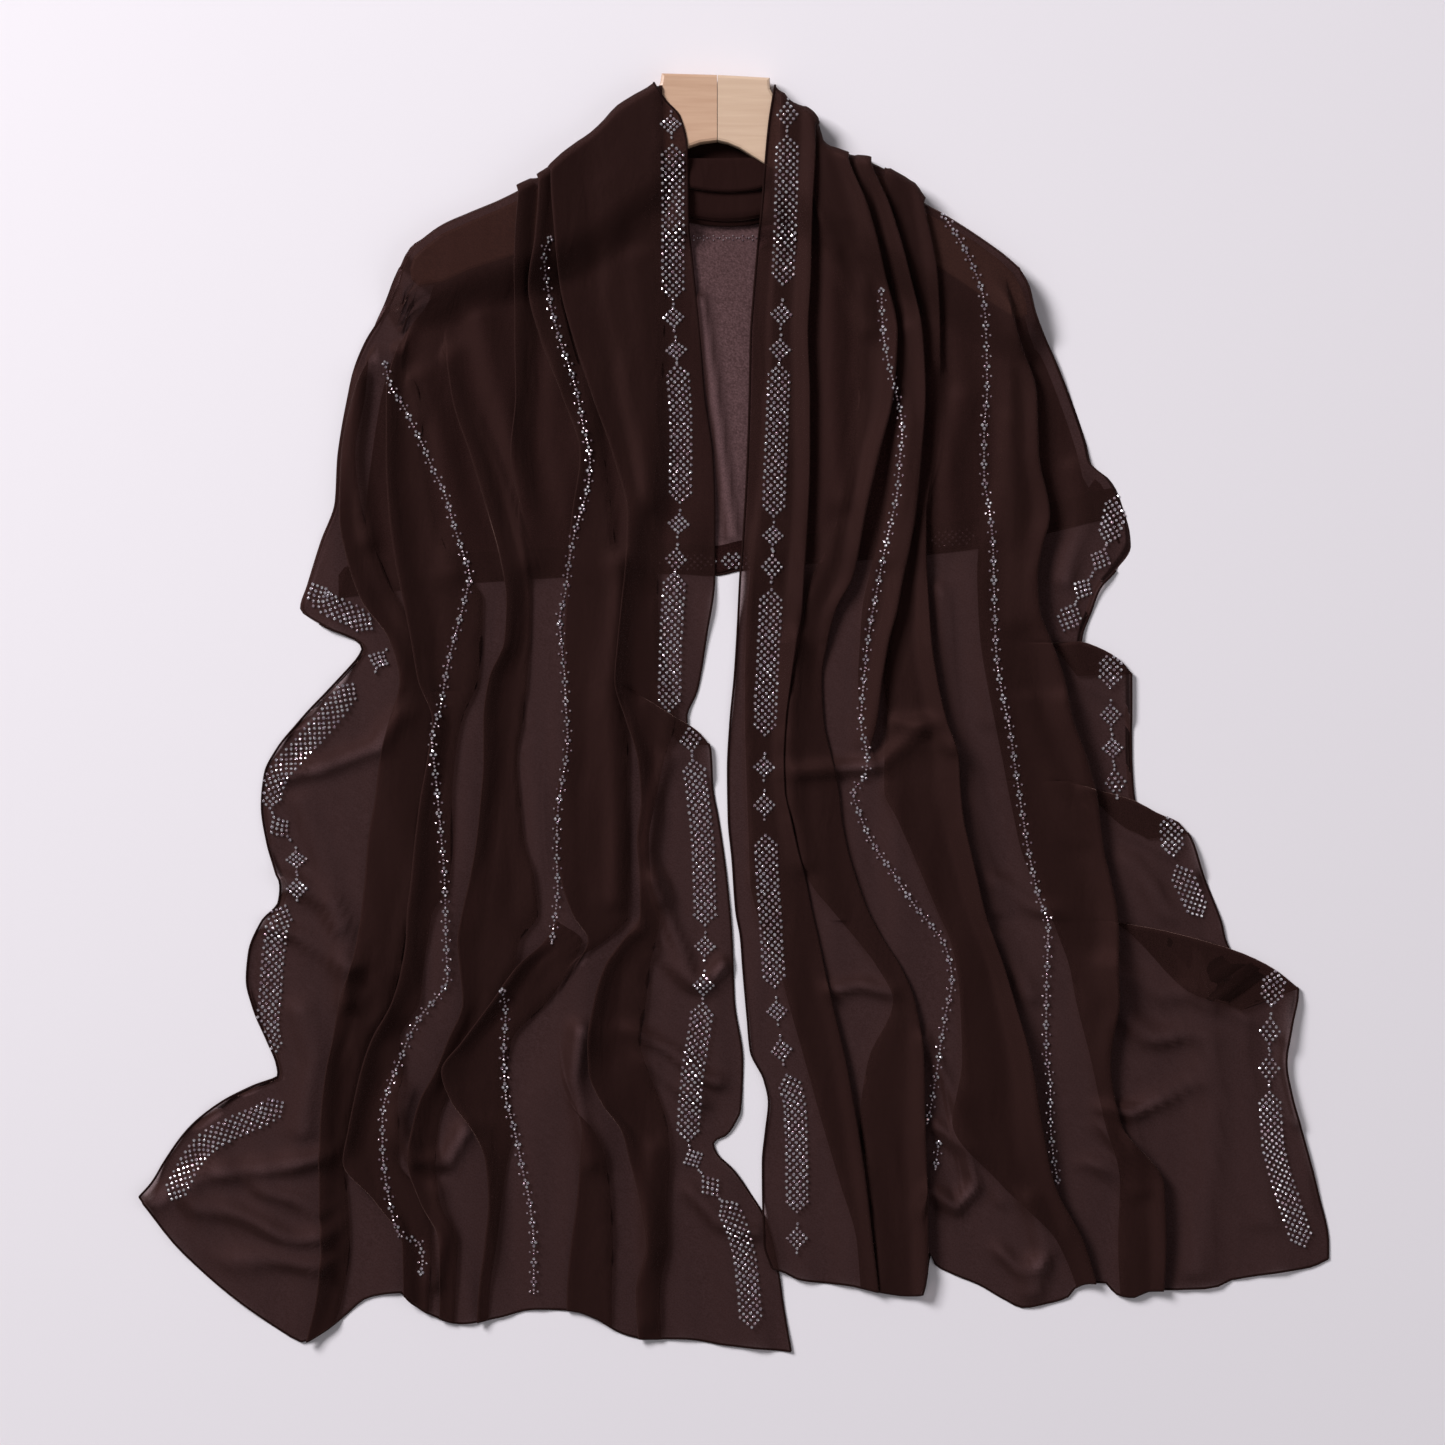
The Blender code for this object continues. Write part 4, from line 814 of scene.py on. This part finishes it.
def wood(name, pale, deep, tilt):
    """Lacquered hanger wood with a fine straight grain."""
    mat = bpy.data.materials.new(name)
    mat.use_nodes = True
    nodes = Nodes(mat.node_tree)
    shader = mat.node_tree.nodes["Principled BSDF"]
    place = nodes.add("ShaderNodeTexCoord")
    turn = nodes.add("ShaderNodeMapping", Vector=place.outputs["Object"])
    turn.inputs["Rotation"].default_value = (0.0, 0.0, tilt)
    turn.inputs["Scale"].default_value = (6.0, 90.0, 60.0)
    grain = nodes.add("ShaderNodeTexNoise", Vector=turn.outputs[0], Scale=3.0, Detail=5.0, Roughness=0.55,
                      Distortion=0.4)
    pores = nodes.add("ShaderNodeTexNoise", Vector=turn.outputs[0], Scale=22.0, Detail=3.0, Roughness=0.7)
    ramp = nodes.add("ShaderNodeValToRGB", Fac=grain.outputs["Fac"])
    ramp.color_ramp.elements[0].position = 0.3
    ramp.color_ramp.elements[0].color = deep
    ramp.color_ramp.elements[1].position = 0.68
    ramp.color_ramp.elements[1].color = pale
    nodes.put(shader, "Base Color", ramp.outputs["Color"])
    bump = nodes.add("ShaderNodeBump", Height=pores.outputs["Fac"], Strength=0.15, Distance=0.0003)
    nodes.put(shader, "Normal", bump.outputs["Normal"])
    shader.inputs["Roughness"].default_value = 0.42
    shader.inputs["Coat Weight"].default_value = 0.12
    shader.inputs["Coat Roughness"].default_value = 0.25
    return mat


def crystal(name, colour, roughness):
    """Foil-backed glass: a bright facet reflects the room like a small mirror."""
    mat = bpy.data.materials.new(name)
    mat.use_nodes = True
    nodes = Nodes(mat.node_tree)
    shader = mat.node_tree.nodes["Principled BSDF"]
    place = nodes.add("ShaderNodeTexCoord")
    glint = nodes.add("ShaderNodeTexNoise", Vector=place.outputs["Object"], Scale=700.0, Detail=0.0)
    ramp = nodes.add("ShaderNodeValToRGB", Fac=glint.outputs["Fac"])
    ramp.color_ramp.elements[0].position = 0.35
    ramp.color_ramp.elements[0].color = (0.55 * colour[0], 0.45 * colour[1], 0.52 * colour[2], 1.0)
    ramp.color_ramp.elements[1].position = 0.55
    ramp.color_ramp.elements[1].color = colour
    nodes.put(shader, "Base Color", ramp.outputs["Color"])
    shader.inputs["Metallic"].default_value = 0.9
    shader.inputs["Roughness"].default_value = roughness
    return mat


CRINKLE = crinkle_group()
FRONT_CLOTH = chiffon("front_chiffon", (0.0160, 0.0064, 0.0056, 1.0), (0.0240, 0.0104, 0.0090, 1.0), 0.30)
BACK_CLOTH = chiffon("back_chiffon", (0.0120, 0.0046, 0.0040, 1.0), (0.0180, 0.0075, 0.0063, 1.0), 0.58)
ROLL_CLOTH = chiffon("neck_chiffon", (0.0100, 0.0034, 0.0029, 1.0), (0.0150, 0.0056, 0.0047, 1.0), 0.10)
HEM_CLOTH = chiffon("hem_chiffon", (0.0050, 0.0018, 0.0015, 1.0), (0.0080, 0.0028, 0.0024, 1.0), 0.0)
BEECH = wood("beech", (0.59, 0.38, 0.26, 1.0), (0.51, 0.31, 0.205, 1.0), 0.62)
MAPLE = wood("maple", (0.65, 0.47, 0.34, 1.0), (0.58, 0.40, 0.285, 1.0), -0.62)
BRIGHT = crystal("bright_stones", (0.95, 0.92, 0.95, 1.0), 0.18)
BLUSH = crystal("blush_stones", (0.80, 0.66, 0.70, 1.0), 0.25)

# Front ends
fronts = {}
for side in ("left", "right"):
    points = End(side).grid()
    front = add_piece("scarf_" + side, grid_mesh(points), FRONT_CLOTH)
    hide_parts("front_" + side)
    inner, outer, foot = points[:, 0], points[:, -1], points[-1]
    free = points[:, -1, 1] <= (LEFT_FOLD_ENDS if side == "left" else RIGHT_FOLD_ENDS)
    hems = merge([tube(inner[1:], HEM_RADIUS), tube(outer[free], HEM_RADIUS), tube(foot, HEM_RADIUS)])
    hem = add_piece("hem_" + side, hems, HEM_CLOTH)
    fronts[side] = (front, hem, points)

# Back stretch, inside the shoulder folds
BACK_LEVEL = 0.35
BACK_INSET = 15.0
BACK_TURN_UP = 19.0
BACK_SIDES = (-276.0 + BACK_INSET, 254.0)
BACK_COLUMN_COUNT = 130
BACK_ROW_COUNT = 90
TURN_UP_ROWS = 8
RIDGE_LINE = ((700, 300), (712, 380), (722, 460), (732, 535))
RIDGE_HALF = 4.6
RIDGE_HEIGHT = 5.0
OPENING_X = (-34, 14)
ridge_line = [plan(*point) for point in RIDGE_LINE]
x = np.linspace(*BACK_SIDES, BACK_COLUMN_COUNT)
top_points = [(x0 + BACK_INSET, y0) for y0, x0 in LEFT_OUTER[11:0:-1]]
top_points += list(LEFT_SHOULDER[3:-2]) + [(-48, 398), (24, 398)] + list(RIGHT_SHOULDER[1:])
top_points += [(x0, y0) for y0, x0 in RIGHT_OUTER[1:11]]
upper, lower = curve(dict(top_points).items()), curve(BACK_HEM)
slope = np.clip((upper(x + 1) - upper(x - 1)) / 2, -8, 8)
high = np.min([upper(x + d) for d in (-6, -3, 0, 3, 6)], axis=0) - 2.5 * np.hypot(slope, 1)
low = np.minimum(lower(x), high - 4.0)
rows = []
for share in np.linspace(0.0, 1.0, BACK_ROW_COUNT):
    y = high + (low - high) * share
    fade = smooth((y - low + 1) / 12.0) * smooth((high - y) / 12.0)
    ridge = RIDGE_HEIGHT * np.exp(-(polyline_distance(x, y, ridge_line) / RIDGE_HALF) ** 2)
    ridge = np.where((x > OPENING_X[0]) & (x < OPENING_X[1]), ridge, 0.0)
    under = 0.2 * crease_height(x, y) * smooth((np.abs(x + 8) - 26) / 8.0)
    rows.append(np.stack([x, y, BACK_LEVEL + fade * (ridge + under)], axis=1))
for share in np.linspace(0.0, 1.0, TURN_UP_ROWS):
    rows.append(np.stack([x, low + 0.4 + BACK_TURN_UP * share, np.full_like(x, 0.05)], axis=1))
back_points = np.array(rows)
back = add_piece("scarf_back", grid_mesh(back_points), BACK_CLOTH)
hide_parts("back_panel")
back_hem = add_piece("hem_back", tube(back_points[-TURN_UP_ROWS - 1], HEM_RADIUS), HEM_CLOTH)

# Roll at the back of the neck: y of each turn of the cloth and its layer, from inside to the far end
ROLL_TURNS = ((365, 5), (347, 5), (346.5, 4), (364, 4), (364.5, 3), (330, 3), (328, 2), (364, 2),
              (364.5, 1), (325, 1), (324.5, 0), (366, 0), (392, 0))
ROLL_BOW = 4.0
ROLL_BOW_TOP = 350
ROLL_WAVE = 0.30
ROLL_LEVEL = 1.9
ROLL_LAYER = 1.75
x = np.linspace(ROLL_X[0], ROLL_X[1], 40)
middle, half = sum(ROLL_X) / 2, (ROLL_X[1] - ROLL_X[0]) / 2
bow = ROLL_BOW * (1 - ((x - middle) / half) ** 2)
rows = []
for (y0, k0), (y1, k1) in zip(ROLL_TURNS[:-1], ROLL_TURNS[1:]):
    for share in np.linspace(0, 1, 8, endpoint=False):
        y, level = y0 + (y1 - y0) * share, k0 + (k1 - k0) * share
        sag = bow if y < ROLL_BOW_TOP else 0 * bow
        wave = ROLL_WAVE * np.sin(x / 9.0 + y / 7.0 + k0)
        z = ROLL_LEVEL + ROLL_LAYER * level + wave * (level > 0.5)
        rows.append(np.stack([x, y - sag + 0.4 * wave, z], axis=1))
roll = add_piece("neck_roll", grid_mesh(np.array(rows)), ROLL_CLOTH)
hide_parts("neck_gather")

# Hanger
for node, mat in (("hanger_left", BEECH), ("hanger_right", MAPLE)):
    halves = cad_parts[node]
    halves.data.materials.clear()
    halves.data.materials.append(mat)

# Stones: bands along both long edges and two narrow lines between them, in picture pixels
STONE_STEP = 3.45
STONE_WIDE = (-3, -2, -1, 0, 1, 2, 3)
STONE_RADIUS = 1.15
SMALL_STONE = 0.86
FAINT_STONE = 0.6
LINE_REPEAT = 19.6
LOZENGE_JITTER = 0.35
BLUSH_SHARE = 0.16

# Four stones of a narrow line, bright or blush: along the line and across it
BRIGHT_FOUR = ((-3.6, 0.0), (0.0, -2.1), (0.0, 2.1), (3.6, 0.0))
BLUSH_FOUR = ((-1.8, 0.0), (0.0, -4.0), (0.0, 4.0), (1.8, 0.0))

WIDE_BANDS = {
    # side: centre of the band down the picture, then where long lozenges and small ones start and end
    "left": (
        (((671, 100), (671, 128), (673, 150), (673, 300), (677, 360), (681, 430), (680, 500), (676, 560),
          (671, 640), (669, 714)),
         ((148, 303), (365, 509), (573, 716)),
         ((119, 136), (309, 327), (342, 359), (515, 533), (549, 570))),
        (((689, 729), (693, 760), (703, 850), (705, 930), (703, 1000), (692, 1080), (688, 1140),
          (697, 1166), (715, 1192), (731, 1214), (745, 1260), (752, 1330)),
         ((760, 928), (1003, 1144), (1201, 1330)),
         ((729, 751), (937, 956), (975, 994), (1150, 1166), (1176, 1195))),
        (((312, 582), (322, 600), (350, 614), (380, 634)), ((584, 632),), ()),
        (((394, 640), (378, 662), (376, 672)), (), ((653, 668),)),
        (((354, 682), (332, 714), (302, 748), (276, 780), (270, 804), (278, 824), (296, 850), (298, 900)),
         ((684, 808),), ((817, 836), (852, 868), (880, 897))),
        (((286, 905), (277, 930), (273, 960), (270, 1000), (268, 1024), (274, 1058)), ((906, 1056),), ()),
        (((286, 1100), (262, 1115), (232, 1128), (203, 1146), (171, 1201)), ((1102, 1201),), ())),
    "right": (
        (((787, 100), (787, 130), (786, 200), (782, 300), (778, 400), (774, 500), (771, 600), (766, 700),
          (764, 780), (766, 850), (771, 930), (776, 1000), (783, 1060), (795, 1110), (797, 1180),
          (797, 1265)),
         ((140, 290), (365, 518), (590, 738), (835, 988), (1075, 1218)),
         ((107, 130), (305, 325), (340, 360), (527, 545), (556, 578), (758, 776), (795, 815), (1002, 1020),
          (1040, 1060), (1228, 1248))),
        (((1118, 496), (1110, 530), (1100, 560), (1082, 590), (1062, 634)), ((496, 544), (605, 634)),
         ((549, 569), (580, 598))),
        (((1110, 652), (1110, 694), (1111, 724), (1113, 756), (1117, 798)), ((653, 694),),
         ((705, 725), (739, 757), (770, 795))),
        (((1170, 812), (1172, 850), (1186, 885), (1204, 922)), ((814, 860), (866, 920)), ()),
        (((1275, 970), (1270, 1010), (1269, 1080), (1272, 1140), (1288, 1200), (1306, 1252)),
         ((971, 1010), (1092, 1250)), ((1018, 1044), (1055, 1081))))}
NARROW_LINES = {
    "left": (
        ((552, 240), (545, 258), (550, 300), (560, 340), (575, 385), (583, 423), (590, 460), (589, 481),
         (583, 506), (575, 533), (569, 564), (566, 591), (560, 619), (562, 646), (565, 677), (566, 705),
         (568, 741), (563, 778), (558, 812), (557, 848), (558, 891), (557, 901), (554, 927), (552, 943)),
        ((503, 988), (506, 1013), (504, 1051), (506, 1096), (515, 1131), (522, 1166), (530, 1204),
         (534, 1243), (534, 1300)),
        ((385, 362), (391, 386), (404, 407), (414, 427), (424, 447), (433, 469), (445, 493), (454, 524),
         (464, 555), (470, 576), (464, 604), (457, 631), (450, 656), (445, 683), (441, 708), (433, 738),
         (436, 775), (439, 809), (442, 842), (445, 879), (446, 924), (447, 956), (448, 978), (439, 995),
         (423, 1013), (410, 1035), (401, 1058), (391, 1083), (383, 1115), (383, 1147), (385, 1172),
         (391, 1204), (401, 1233), (420, 1243), (423, 1259), (421, 1274))),
    "right": (
        ((881, 290), (883, 332), (888, 364), (896, 396), (902, 429), (899, 466), (897, 493), (890, 526),
         (883, 558), (876, 595), (869, 632), (864, 678), (861, 723), (867, 758), (864, 777), (853, 792),
         (860, 815), (873, 844), (891, 870), (915, 906), (934, 929), (946, 948), (952, 980), (946, 1012),
         (939, 1054), (932, 1100), (927, 1123)),
        ((939, 1141), (935, 1169)),
        ((941, 217), (957, 240), (973, 272), (982, 300), (986, 346), (987, 392), (984, 433), (984, 475),
         (989, 507), (993, 553), (994, 599), (996, 655), (1003, 701), (1009, 727), (1015, 768), (1022, 814),
         (1031, 865), (1040, 902), (1048, 925), (1047, 962), (1046, 1008), (1046, 1054), (1050, 1082),
         (1050, 1118), (1053, 1155), (1058, 1183)))}


class Path:
    """A smooth line down the picture, read by length."""

    def __init__(self, points):
        points = np.array(points, dtype=float)
        run = np.append(0, np.cumsum(np.hypot(*np.diff(points, axis=0).T)))
        self.length = run[-1]
        self.run = run
        self.across = curve(list(zip(run, points[:, 0])))
        self.down = curve(list(zip(run, points[:, 1])))
        self.rows = points[:, 1]

    def at(self, run, offset):
        """Picture place at a length along the line and an offset to its right."""
        x, y = self.across(run), self.down(run)
        dx = self.across(run + 2) - self.across(run - 2)
        dy = self.down(run + 2) - self.down(run - 2)
        size = max(math.hypot(dx, dy), 1e-6)
        return x + dy / size * offset, y - dx / size * offset

    def run_at(self, row):
        """Length along the line at a picture row."""
        return float(np.interp(row, self.rows, self.run))


def long_lozenge(path, start, end, jitter):
    """Stones filling a long lozenge with pointed ends."""
    places = []
    count = int((end - start) / STONE_STEP)
    for i in range(count + 1):
        for j in STONE_WIDE:
            reach = min(i, count - i)
            if (i + j) % 2 == 0 and abs(j) <= reach:
                offset = j * STONE_STEP + jitter.uniform(-LOZENGE_JITTER, LOZENGE_JITTER)
                along = start + i * STONE_STEP + jitter.uniform(-LOZENGE_JITTER, LOZENGE_JITTER)
                places.append(path.at(along, offset))
    return places


def small_lozenge(path, start, end, jitter):
    """Sixteen stones in a diamond, with a single one before and after it."""
    places = []
    middle, step = (start + end) / 2, (end - start) / 6.0
    for i in range(-3, 4):
        for j in range(-3, 4):
            if (i + j) % 2 and abs(i) + abs(j) <= 3:
                places.append(path.at(middle + i * step + jitter.uniform(-0.3, 0.3), j * STONE_STEP * 0.92))
    places.append(path.at(start - 4.5, 0.6))
    places.append(path.at(end + 4.5, -0.4))
    return places


def stone_places(side):
    """Picture places of the side's bright stones, its blush ones, and the small blush ones."""
    jitter = np.random.RandomState(7 if side == "left" else 11)
    bright, blush = [], []
    for points, longs, smalls in WIDE_BANDS[side]:
        path = Path(points)
        for start, end in longs:
            bright += long_lozenge(path, path.run_at(start), path.run_at(end), jitter)
        for start, end in smalls:
            bright += small_lozenge(path, path.run_at(start), path.run_at(end), jitter)
    for points in NARROW_LINES[side]:
        path = Path(points)
        run = 2.0
        while run < path.length:
            for along, offset in BRIGHT_FOUR:
                bright.append(path.at(run + along, offset))
            for along, offset in BLUSH_FOUR:
                blush.append(path.at(run + LINE_REPEAT / 2 + along, offset))
            run += LINE_REPEAT + jitter.uniform(-0.6, 0.6)
    mixed = jitter.uniform(size=len(bright))
    blush_too = [p for p, m in zip(bright, mixed) if m < BLUSH_SHARE]
    return [p for p, m in zip(bright, mixed) if m >= BLUSH_SHARE], blush_too, blush


def stones(name, places, radius, surface, mat, seed):
    """Small faceted stones seated on the cloth."""
    jitter = np.random.RandomState(seed)
    bm = bmesh.new()
    for px, py in places:
        x, y = plan(px, py)
        hit, normal, _, _ = surface.ray_cast(Vector((x * MM, y * MM, 0.1)), Vector((0, 0, -1)))
        if hit is None:
            continue
        if normal.z < 0:
            normal = -normal
        turn = normal.to_track_quat("Z", "Y")
        size = radius * jitter.uniform(0.9, 1.12)
        start = jitter.uniform(0, math.pi)
        rings = []
        for share, rise in ((1.0, 0.0), (0.92, 0.45), (0.5, 0.85)):
            rings.append([bm.verts.new(hit + turn @ (Vector((
                math.cos(start + k * math.pi / 3) * share, math.sin(start + k * math.pi / 3) * share,
                rise)) * size * MM)) for k in range(6)])
        for vert in sum(rings, []):
            vert.co.z = max(vert.co.z, 0.0)
        for low, high in zip(rings[:-1], rings[1:]):
            for k in range(6):
                bm.faces.new((low[k], low[(k + 1) % 6], high[(k + 1) % 6], high[k]))
        bm.faces.new(rings[-1])
    return add_piece(name, bm, mat, smooth_shading=False)


# Stones on the back: ends of each stretch of the band, and from x to x and the y of the line at the neck
BACK_BAND = (((660, 563), (760, 560)), ((925, 541), (980, 535)))
BACK_LINE_X = (684, 775)
BACK_LINE_Y = 238


def back_stones():
    """The band along the back's lower hem where it shows, and a fainter line near the neck."""
    jitter = np.random.RandomState(5)
    places = []
    for (x0, y0), (x1, y1) in BACK_BAND:
        for i in range(int((x1 - x0) / STONE_STEP)):
            for j in (-2, -1, 0, 1, 2):
                if (i + j) % 2 == 0 and abs(j) <= 2.4 - 1.6 * math.cos(i / 2.6):
                    share = i * STONE_STEP / (x1 - x0)
                    places.append((x0 + i * STONE_STEP + jitter.uniform(-0.4, 0.4),
                                   y0 + (y1 - y0) * share + j * STONE_STEP))
    line = []
    step = LINE_REPEAT / 2
    for i in range(int((BACK_LINE_X[1] - BACK_LINE_X[0]) / step)):
        for along, offset in BRIGHT_FOUR:
            line.append((BACK_LINE_X[0] + step * i + along, BACK_LINE_Y + offset))
    return places, line


surfaces = {side: BVHTree.FromObject(fronts[side][0], bpy.context.evaluated_depsgraph_get())
            for side in fronts}
back_surface = BVHTree.FromObject(back, bpy.context.evaluated_depsgraph_get())
band, line = back_stones()
back_trims = [stones("stones_back", band, STONE_RADIUS, back_surface, BRIGHT, 2),
              stones("small_stones_back", line, FAINT_STONE, back_surface, BLUSH, 4)]
for side in ("left", "right"):
    bright, pink, small = stone_places(side)
    stones("stones_" + side, bright, STONE_RADIUS, surfaces[side], BRIGHT, 3)
    stones("blush_stones_" + side, pink, STONE_RADIUS, surfaces[side], BLUSH, 5)
    stones("small_stones_" + side, small, SMALL_STONE, surfaces[side], BLUSH, 9)

# Room: a pale floor, soft light from above and to the left, and a camera looking straight down
FLOOR_TONE = (0.80, 0.765, 0.805, 1.0)
FLOOR_HALF = 9.0
floor_mesh = bmesh.new()
bmesh.ops.create_grid(floor_mesh, x_segments=1, y_segments=1, size=FLOOR_HALF)
mesh = bpy.data.meshes.new("floor")
floor_mesh.to_mesh(mesh)
floor_mesh.free()
floor = bpy.data.objects.new("floor", mesh)
bpy.context.scene.collection.objects.link(floor)
paper = bpy.data.materials.new("paper")
paper.use_nodes = True
shader = paper.node_tree.nodes["Principled BSDF"]
shader.inputs["Base Color"].default_value = FLOOR_TONE
shader.inputs["Roughness"].default_value = 0.9
shader.inputs["Specular IOR Level"].default_value = 0.1
mesh.materials.append(paper)


def area_light(name, place, target, size, power, colour):
    """A square lamp that faces its target."""
    light = bpy.data.lights.new(name, "AREA")
    light.size = size
    light.energy = power
    light.color = colour
    lamp = bpy.data.objects.new(name, light)
    lamp.location = place
    lamp.rotation_euler = (Vector(target) - Vector(place)).to_track_quat("-Z", "Y").to_euler()
    bpy.context.scene.collection.objects.link(lamp)


area_light("window", (-2.9, 2.5, 3.1), (0, 0, 0), 1.8, 292.0, (1.0, 0.985, 1.0))
area_light("bounce", (1.8, -0.6, 1.6), (0, 0, 0), 2.0, 8.0, (1.0, 0.99, 1.0))
world = bpy.data.worlds.new("room")
bpy.context.scene.world = world
world.use_nodes = True
world.node_tree.nodes["Background"].inputs["Color"].default_value = (0.98, 0.97, 1.0, 1.0)
world.node_tree.nodes["Background"].inputs["Strength"].default_value = 0.18

CAMERA_HEIGHT = 3.0
SENSOR_WIDTH = 36.0
PICTURE_SIDE = 1445
FRAME_WIDTH = PICTURE_SIDE * PIXEL * MM
camera = bpy.data.cameras.new("camera")
camera.sensor_width = SENSOR_WIDTH
camera.lens = SENSOR_WIDTH * CAMERA_HEIGHT / FRAME_WIDTH
eye = bpy.data.objects.new("camera", camera)
bpy.context.scene.cycles.transparent_max_bounces = 24
eye.location = ((PICTURE_SIDE / 2 - PICTURE_MIDDLE[0]) * PIXEL * MM,
                (PICTURE_MIDDLE[1] - PICTURE_SIDE / 2) * PIXEL * MM, CAMERA_HEIGHT)
bpy.context.scene.collection.objects.link(eye)
bpy.context.scene.camera = eye
bpy.context.scene.view_settings.view_transform = "Standard"
